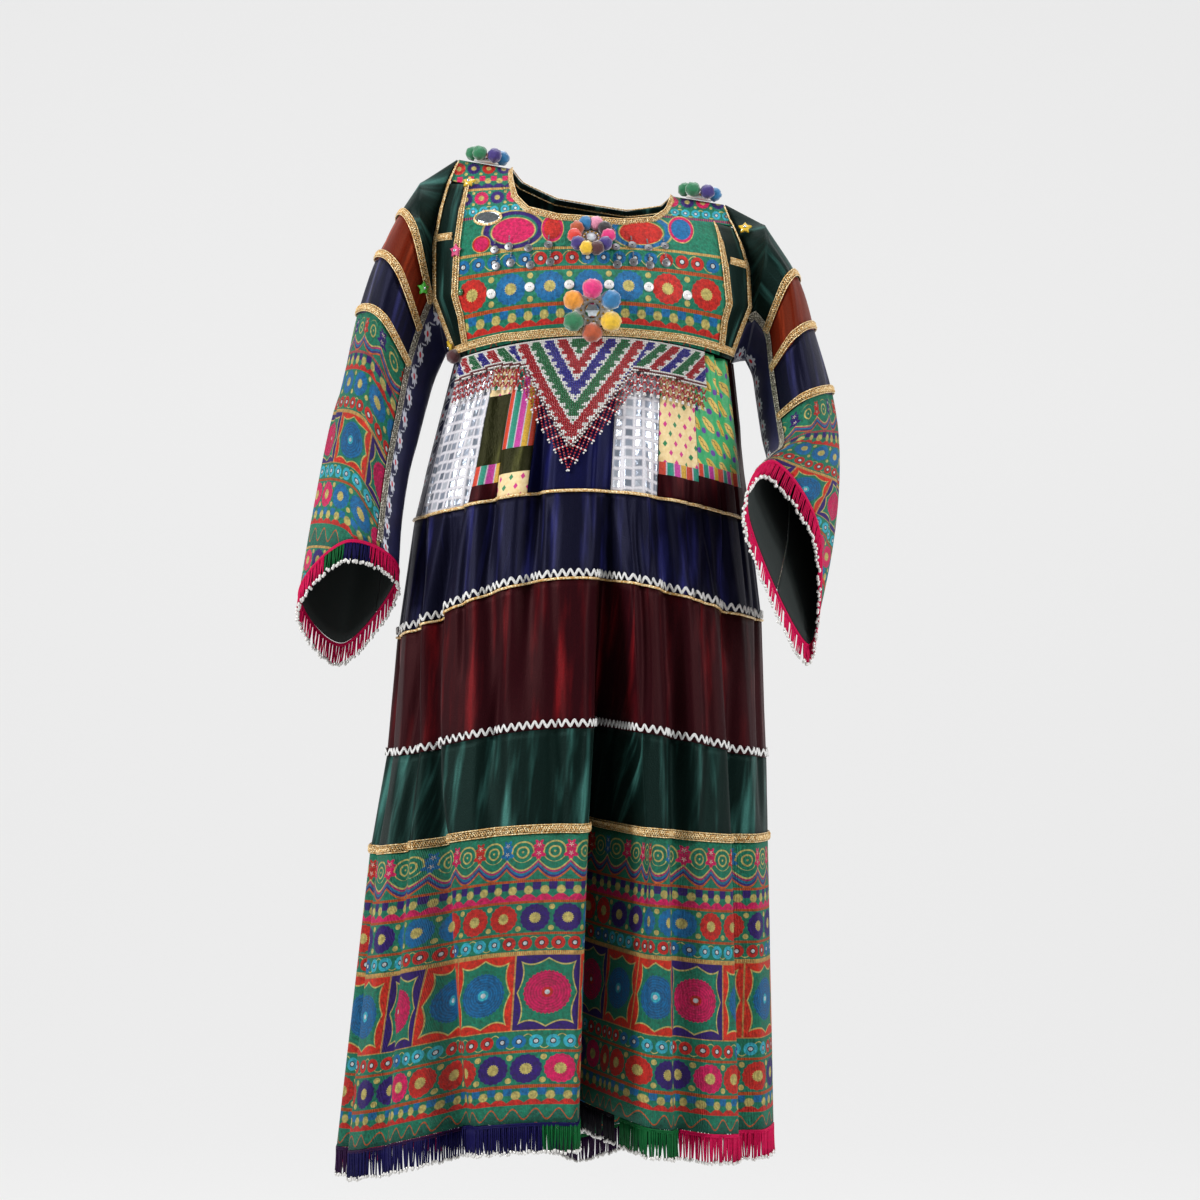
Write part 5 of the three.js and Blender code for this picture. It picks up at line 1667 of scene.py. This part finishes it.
def fuzzy(chance):
    """A pompom's ball with tufted wool ends."""
    points, faces = BALL
    sizes = 1 + chance.uniform(-0.1, 0.09, len(points))
    return points * sizes[:, None], faces


DISC_BEADS = 22


def rosette(name, at, axes, ring, ball, disc, colours, gem, chance, start=0.0):
    """Pompoms round a beaded disc with a stone in its middle."""
    heap = Heap()
    heap.place(PLATE, at, (disc, disc, 3.2), "bead_white", axes)
    across, up, out = axes
    for k, colour in enumerate(colours):
        turn = 2 * math.pi * k / len(colours) + start
        spot = at + (across * math.cos(turn) + up * math.sin(turn)) * ring + out * (ball + 0.3)
        heap.place(fuzzy(chance), spot, ball * 0.98, "wool_" + colour)
    for k in range(DISC_BEADS):
        turn = 2 * math.pi * k / DISC_BEADS
        spot = at + (across * math.cos(turn) + up * math.sin(turn)) * disc * 0.62 + out * 4.6
        heap.place(BEAD, spot, 1.5, "bead_goldbead" if k % 2 else "bead_white")
    heap.place(PLATE, at + out * 3.4, (disc * 0.45, disc * 0.45, 4.0), gem, axes)
    heap.make("wool_" + name, "pompom_wool", [name])


NECK_WOOLS = ("hot", "black", "pink", "blue", "rust", "red", "purple", "yellow", "maroon", "purple")
WAIST_WOOLS = ("blue", "hot", "orange", "green", "rust", "yellow")
SHOULDER_WOOLS = ("blue", "maroon", "red", "green", "green", "purple")


def make_rosettes():
    """The rosettes at the neck, the waist and the shoulders."""
    chance = np.random.default_rng(7)
    neck = bodice_point(0.0, -70.0, 0.8)
    waist = bodice_point(0.0, -158.0, 0.8)
    for name, at, ring, ball, disc, colours, gem, start in (
        ("rosette_neck", neck, 19, 8.0, 14, NECK_WOOLS, "bead_clear", 0.0),
        ("rosette_waist", waist, 24, 11.2, 20, WAIST_WOOLS, "glass", math.pi / 6),
    ):
        axes = bodice_axes(float(at[0]), float(at[2]))
        rosette(name, at, axes, ring, ball, disc, colours, gem, chance, start)
    out = unit(np.array([SHOULDER_DROP, 0, 1.0]))
    across = unit(np.array([1.0, 0, -SHOULDER_DROP]))
    axes = np.stack([across, np.cross(out, across), out])
    for name, x in (("rosette_shoulder_left", -114), ("rosette_shoulder_right", 130)):
        at = np.array([x, 0, SHOULDER - SHOULDER_DROP * (x - DROP_CENTRE)]) + out * 0.8
        rosette(name, at, axes, 17, 8.5, 15, SHOULDER_WOOLS, "bead_red", chance)


class FrontView:
    """Finds the cloth that shows at a place seen from the front."""

    def __init__(self):
        points, faces, start = [], [], 0
        for obj in bpy.data.objects:
            if obj.name.startswith("cloth_"):
                points += [v.co.copy() for v in obj.data.vertices]
                faces += [[start + k for k in f.vertices] for f in obj.data.polygons]
                start += len(obj.data.vertices)
        self.tree = BVHTree.FromPolygons(points, faces)

    def at(self, x, z):
        """The place in millimetres and its axes: across, up and outward."""
        hit, normal, _, _ = self.tree.ray_cast(Vector((x * MM, -1.0, z * MM)), Vector((0, 1, 0)))
        if hit is None:
            raise ValueError("no cloth shows at %s, %s" % (x, z))
        out = np.array(normal)
        out = out if out[1] < 0 else -out
        across = unit(np.cross(out, np.array([0, 0, 1.0])))
        across = across if across[0] > 0 else -across
        return np.array(hit) / MM, np.stack([across, np.cross(out, across), out])


# Marks sewn on the front, by their place to the side and their height
BUTTONS = ((-104, -140), (-61, -134), (-17, -132), (27, -132), (71, -134), (114, -142))
STAR_LIFT = 2.6
STARS = ((-131, -8, "yellow"), (-143, -89, "pink"), (-185, -128, "lime"), (-150, -193, "yellow"),
         (183, -58, "yellow"))
COINS_X = (-84, -62, -40, 34, 52, 70, 88, -100)
COINS_Z = (-82, -101)
COIN_STAGGER = 3
MIRRORS = ((-109, -52, 15, 8),)
HEARTS = ((-138, -136, "bead_green"), (0, -92, "bead_purple"))
POMPOM_PLACE = (-143, -203)
# Their half sizes across and up, and how thick they are, in millimetres
BUTTON_SIZE = (5.6, 5.6, 2.4)
HOLE_SIZE = (0.7, 0.7, 0.5)
STAR_SIZE = (8.5, 8.5, 2.6)
MIRROR_RIM = 2.6
HEART_SIZE = (4, 5, 2.5)
COIN_SIZE = (5.0, 5.0, 0.8)
COIN_MIDDLE = (1.4, 1.4, 0.5)
POMPOM_SIZE = 8.0


def make_marks():
    """Buttons, stars, mirrors, hearts, one pompom and the coins on their threads."""
    view = FrontView()
    heap = Heap()
    for x, z in BUTTONS:
        at, axes = view.at(x, z)
        heap.place(PLATE, at, BUTTON_SIZE, "button", axes)
        for side in (-1, 1):
            hole = at + axes[0] * side * 1.3 + axes[2] * 2.3
            heap.place(BEAD, hole, HOLE_SIZE, "wool_black", axes)
    for x, z, colour in STARS:
        at, axes = view.at(x, z)
        heap.place(STAR, at + axes[2] * STAR_LIFT, STAR_SIZE, "bead_" + colour, axes)
        heap.place(BEAD, at + axes[2] * (STAR_LIFT + 3.2), 2.2, "glass")
    for x, z, wide, tall in MIRRORS:
        at, axes = view.at(x, z)
        rim = (wide + MIRROR_RIM, tall + MIRROR_RIM, 1.6)
        heap.place(PLATE, at, rim, "gold", axes)
        heap.place(PLATE, at + axes[2] * 0.8, (wide, tall, 1.5), "glass", axes)
    for x, z, colour in HEARTS:
        at, axes = view.at(x, z)
        heap.place(BEAD, at + axes[2] * 2, HEART_SIZE, colour, axes)
    at, axes = view.at(*POMPOM_PLACE)
    heap.place(fuzzy(np.random.default_rng(4)), at + axes[2] * 7, POMPOM_SIZE, "wool_maroon")
    heap.make("marks_buttons", "beads")
    coins = Heap()
    for k, x in enumerate(COINS_X):
        for j, z in enumerate(COINS_Z):
            at, axes = view.at(x + 2 * j, z - COIN_STAGGER * (k % 2))
            for step in range(3):
                coins.place(BEAD, at + axes[1] * (6.5 - 2.2 * step) + axes[2] * 1.6, 1.1, "coin")
            tilt = axes[2] * 1.6 - axes[1] * 5.5
            coins.place(PLATE, at + tilt, COIN_SIZE, "coin", axes)
            coins.place(BEAD, at + tilt + axes[2] * 0.7, COIN_MIDDLE, "wool_black", axes)
    coins.make("marks_coins", "beads")


def strand(heap, at, way, long, name, chance, size=1.15):
    """One thread of a fringe, a little swayed, with a bead at its end."""
    sway = chance.uniform(-1, 1, 3) * (1, 1, 0.2)
    steps = np.linspace(0, 1, 4)[:, None]
    path = at + way * long * steps + sway * 1.6 * steps ** 2
    heap.tube(path, size, name, 4, tip=0.8)
    heap.place(BEAD, path[-1] - (0, 0, 1.0), (1.9, 1.9, 2.3), "bead_white")


# How far the strands hang, and the distance between those of the cuffs, in millimetres
HEM_STRAND = 29.0
CUFF_STRAND = 22.0
CUFF_STEP = 2.6
# The hem's locks of fringe: first and last angle, and each colour up to its share of them
HEM_FRINGE = (
    ("fringe_hem_left", -96, -28, (("purple", 0.3), ("navy", 1.0))),
    ("fringe_hem_middle", -27.5, 8, (("navy", 0.55), ("green", 1.0))),
    # painted shade: the strands under the deep fold take near-black thread for the fold's shade
    ("fringe_hem_fold", 8.5, 22, (("dark", 1.0),)),
    ("fringe_hem_green", 22.5, 37, (("green", 1.0),)),
    ("fringe_hem_pink", 37.5, 96, (("pink", 1.0),)),
    ("fringe_hem_back_right", 96.5, 180, (("green", 0.5), ("purple", 1.0))),
    ("fringe_hem_back_left", 180.5, 263.5, (("navy", 0.5), ("pink", 1.0))),
)


def make_hem_fringes():
    """The strands and strips of the hem's fringe."""
    chance = np.random.default_rng(11)
    step = bpy.context.scene.dress.strand_step / MM
    for name, first, last, runs in HEM_FRINGE:
        fine = np.linspace(first, last, 400)
        path = even_path(skirt_point(fine, np.full_like(fine, 5.0)), step)
        out = unit(np.gradient(path, axis=0))
        out = np.stack([out[:, 1], -out[:, 0], np.zeros(len(out))], 1)
        heap = Heap()
        for drop, lift in ((1.8, -0.4), (3.6, -0.4)):
            heap.tube(path + out * lift - (0, 0, drop), 1.3, "thread_" + runs[0][0], 5)
        for k, (at, side) in enumerate(zip(path, out)):
            share = k / len(path)
            colour = next(key for key, until in runs if share <= until)
            lift = chance.uniform(-1.4, 0.6)
            long = HEM_STRAND + chance.uniform(-2.2, 1.2)
            strand(heap, at + side * lift - (0, 0, 3.0), np.array([0, 0, -1.0]), long,
                   "thread_" + colour, chance)
        heap.make("threads_" + name, "fringe_thread", [name])


CUFF_COLOURS = {"left": (("pink", 0.16), ("green", 0.24), ("navy", 0.34), ("pink", 1.0)),
                "right": (("pink", 1.0),)}


def make_cuff_fringes():
    """The strands and strips of the cuffs' fringes."""
    chance = np.random.default_rng(12)
    for label, (_, sections) in SLEEVES.items():
        end = len(sections)
        turns = np.linspace(0, 1, 240, endpoint=False)
        edge = sleeve_point(label, turns, np.full_like(turns, float(end)))
        above = sleeve_point(label, turns, np.full_like(turns, end - 0.2))
        both = np.hstack([edge, unit(edge - above)])
        count = int(np.linalg.norm(np.diff(edge, axis=0), axis=1).sum() / CUFF_STEP)
        rows = np.linspace(0, len(turns), count, endpoint=False).astype(int)
        heap = Heap()
        for drop in (1.6, 3.4):
            heap.tube(edge + both[:, 3:] * drop, 1.2, "thread_pink", 5, closed=True)
        runs = CUFF_COLOURS[label]
        for k, index in enumerate(rows):
            at, way = both[index, :3], both[index, 3:]
            hang = unit(way * 0.6 + np.array([0, 0, -0.4]))
            colour = next(key for key, until in runs if k / count <= until)
            strand(heap, at + way * 2.4, hang, CUFF_STRAND + chance.uniform(-1.5, 1.0),
                   "thread_" + colour, chance, 0.9)
        heap.make("threads_fringe_cuff_" + label, "fringe_thread", ["fringe_cuff_" + label])


# The backdrop's floor and height in millimetres, and its own light
FLOOR = -1600.0
WALL_TALL = 8000.0
WALL_GLOW = 0.595
# The camera, and the lights by name, place, size and power, in metres and watts
CAMERA_AT = (0.017, -3.5, -0.481)
CAMERA_SENSOR = 36
LIGHTS_LOOK_AT = (0, 0, -0.55)
LIGHTS = (
    ("key", (-3.0, -1.7, 1.2), (1.2, 1.2), 150),
    ("fill", (3.1, -1.6, 0.9), (1.2, 1.6), 105),
    ("top", (0.2, 0.2, 1.9), (1.6, 1.6), 26),
)


def make_backdrop():
    """A pale floor that turns up into a wall behind the dress."""
    bend, far, wide = 1600.0, 2600.0, 9000.0
    turns = np.linspace(0, math.pi / 2, 24)
    line = [(-wide, 0.0)] + [(far + bend * math.sin(t), bend * (1 - math.cos(t))) for t in turns]
    line.append((far + bend, WALL_TALL))
    points = [(x, y, FLOOR + z) for x in (-wide, wide) for y, z in line]
    count = len(line)
    faces = [(k, k + 1, count + k + 1, count + k) for k in range(count - 1)]
    glow = {"Emission_Color": "FFFFFF", "Emission_Strength": WALL_GLOW}
    wall = Kit("backdrop").finish("8C8C8C", 0.9, **glow)
    link_mesh("backdrop", points, faces, [wall])


def add_light(name, at, size, power):
    """A rectangular light that looks at the middle of the dress."""
    data = bpy.data.lights.new(name, "AREA")
    data.shape = "RECTANGLE"
    data.size, data.size_y = size
    data.energy = power
    obj = bpy.data.objects.new(name, data)
    obj.location = at
    obj.rotation_euler = (Vector(LIGHTS_LOOK_AT) - Vector(at)).to_track_quat("-Z", "Y").to_euler()
    bpy.context.scene.collection.objects.link(obj)


def make_stage():
    """The backdrop, the lights, the room and the camera."""
    scene = bpy.context.scene
    make_backdrop()
    for light in LIGHTS:
        add_light(*light)
    world = bpy.data.worlds.new("room")
    world.use_nodes = True
    room = world.node_tree.nodes["Background"]
    room.inputs[0].default_value = (1, 1, 1, 1)
    room.inputs[1].default_value = scene.dress.room_light
    scene.world = world
    data = bpy.data.cameras.new("camera")
    data.lens = scene.dress.lens
    data.sensor_width = CAMERA_SENSOR
    data.clip_end = 50
    camera = bpy.data.objects.new("camera", data)
    camera.location = CAMERA_AT
    camera.rotation_euler = (math.pi / 2, 0, 0)
    scene.collection.objects.link(camera)
    scene.camera = camera
    scene.view_settings.view_transform = "Standard"


class DRESS_OT_tiers(bpy.types.Operator):
    """Makes the velvet tiers and the embroidered hem band."""

    bl_idname = "dress.tiers"
    bl_label = "Tiers"
    bl_options = {"REGISTER", "UNDO"}

    def execute(self, context):
        make_tiers()
        return {"FINISHED"}


class DRESS_OT_patches(bpy.types.Operator):
    """Makes the strips of the patchwork tier."""

    bl_idname = "dress.patches"
    bl_label = "Patchwork"
    bl_options = {"REGISTER", "UNDO"}

    def execute(self, context):
        make_patches()
        return {"FINISHED"}


class DRESS_OT_bodice(bpy.types.Operator):
    """Makes the yoke, the back and the side panels."""

    bl_idname = "dress.bodice"
    bl_label = "Bodice"
    bl_options = {"REGISTER", "UNDO"}

    def execute(self, context):
        make_bodice()
        return {"FINISHED"}


class DRESS_OT_sleeves(bpy.types.Operator):
    """Makes both pieced sleeves."""

    bl_idname = "dress.sleeves"
    bl_label = "Sleeves"
    bl_options = {"REGISTER", "UNDO"}

    def execute(self, context):
        make_sleeves()
        return {"FINISHED"}


class DRESS_OT_skirt_trims(bpy.types.Operator):
    """Makes the ric-rac, braid and piping of the skirt."""

    bl_idname = "dress.skirt_trims"
    bl_label = "Skirt trims"
    bl_options = {"REGISTER", "UNDO"}

    def execute(self, context):
        make_skirt_trims()
        return {"FINISHED"}


class DRESS_OT_sleeve_braids(bpy.types.Operator):
    """Makes the braids of the sleeves."""

    bl_idname = "dress.sleeve_braids"
    bl_label = "Sleeve braids"
    bl_options = {"REGISTER", "UNDO"}

    def execute(self, context):
        make_sleeve_braids()
        return {"FINISHED"}


class DRESS_OT_yoke_trims(bpy.types.Operator):
    """Makes the braids at the neck, yoke, armholes and waist."""

    bl_idname = "dress.yoke_trims"
    bl_label = "Yoke braids"
    bl_options = {"REGISTER", "UNDO"}

    def execute(self, context):
        make_yoke_trims()
        return {"FINISHED"}


class DRESS_OT_bead_panel(bpy.types.Operator):
    """Makes the beaded apron panel."""

    bl_idname = "dress.bead_panel"
    bl_label = "Bead panel"
    bl_options = {"REGISTER", "UNDO"}

    def execute(self, context):
        make_bead_panel()
        return {"FINISHED"}


class DRESS_OT_bead_net(bpy.types.Operator):
    """Makes the net of beads along the panel's lower edge."""

    bl_idname = "dress.bead_net"
    bl_label = "Bead net"
    bl_options = {"REGISTER", "UNDO"}

    def execute(self, context):
        make_bead_net()
        return {"FINISHED"}


class DRESS_OT_rosettes(bpy.types.Operator):
    """Makes the four pompom rosettes."""

    bl_idname = "dress.rosettes"
    bl_label = "Rosettes"
    bl_options = {"REGISTER", "UNDO"}

    def execute(self, context):
        make_rosettes()
        return {"FINISHED"}


class DRESS_OT_marks(bpy.types.Operator):
    """Makes the buttons, stars, mirrors and coins."""

    bl_idname = "dress.marks"
    bl_label = "Buttons and coins"
    bl_options = {"REGISTER", "UNDO"}

    def execute(self, context):
        make_marks()
        return {"FINISHED"}


class DRESS_OT_hem_fringes(bpy.types.Operator):
    """Makes the beaded fringe of the hem."""

    bl_idname = "dress.hem_fringes"
    bl_label = "Hem fringe"
    bl_options = {"REGISTER", "UNDO"}

    def execute(self, context):
        make_hem_fringes()
        return {"FINISHED"}


class DRESS_OT_cuff_fringes(bpy.types.Operator):
    """Makes the beaded fringes of the cuffs."""

    bl_idname = "dress.cuff_fringes"
    bl_label = "Cuff fringes"
    bl_options = {"REGISTER", "UNDO"}

    def execute(self, context):
        make_cuff_fringes()
        return {"FINISHED"}


class DRESS_OT_stage(bpy.types.Operator):
    """Makes the backdrop, the lights and the camera."""

    bl_idname = "dress.stage"
    bl_label = "Stage"
    bl_options = {"REGISTER", "UNDO"}

    def execute(self, context):
        make_stage()
        return {"FINISHED"}


OPERATORS = (
    DRESS_OT_tiers, DRESS_OT_patches, DRESS_OT_bodice, DRESS_OT_sleeves, DRESS_OT_skirt_trims,
    DRESS_OT_sleeve_braids, DRESS_OT_yoke_trims, DRESS_OT_bead_panel, DRESS_OT_bead_net,
    DRESS_OT_rosettes, DRESS_OT_marks, DRESS_OT_hem_fringes, DRESS_OT_cuff_fringes,
    DRESS_OT_stage,
)


class DRESS_PT_panel(bpy.types.Panel):
    """Lists the operators that build the dress."""

    bl_label = "Kuchi dress"
    bl_space_type = "VIEW_3D"
    bl_region_type = "UI"
    bl_category = "Dress"

    def draw(self, context):
        settings = context.scene.dress
        for name in DressSettings.__annotations__:
            self.layout.prop(settings, name)
        for operator in OPERATORS:
            self.layout.operator(operator.bl_idname)


CLASSES = (DressSettings, *OPERATORS, DRESS_PT_panel)


def register():
    for made in CLASSES:
        bpy.utils.register_class(made)
    bpy.types.Scene.dress = bpy.props.PointerProperty(type=DressSettings)


def unregister():
    del bpy.types.Scene.dress
    for made in reversed(CLASSES):
        bpy.utils.unregister_class(made)


def main():
    register()
    for operator in OPERATORS:
        group, name = operator.bl_idname.split(".")
        getattr(getattr(bpy.ops, group), name)()


if __name__ == "__main__":
    main()
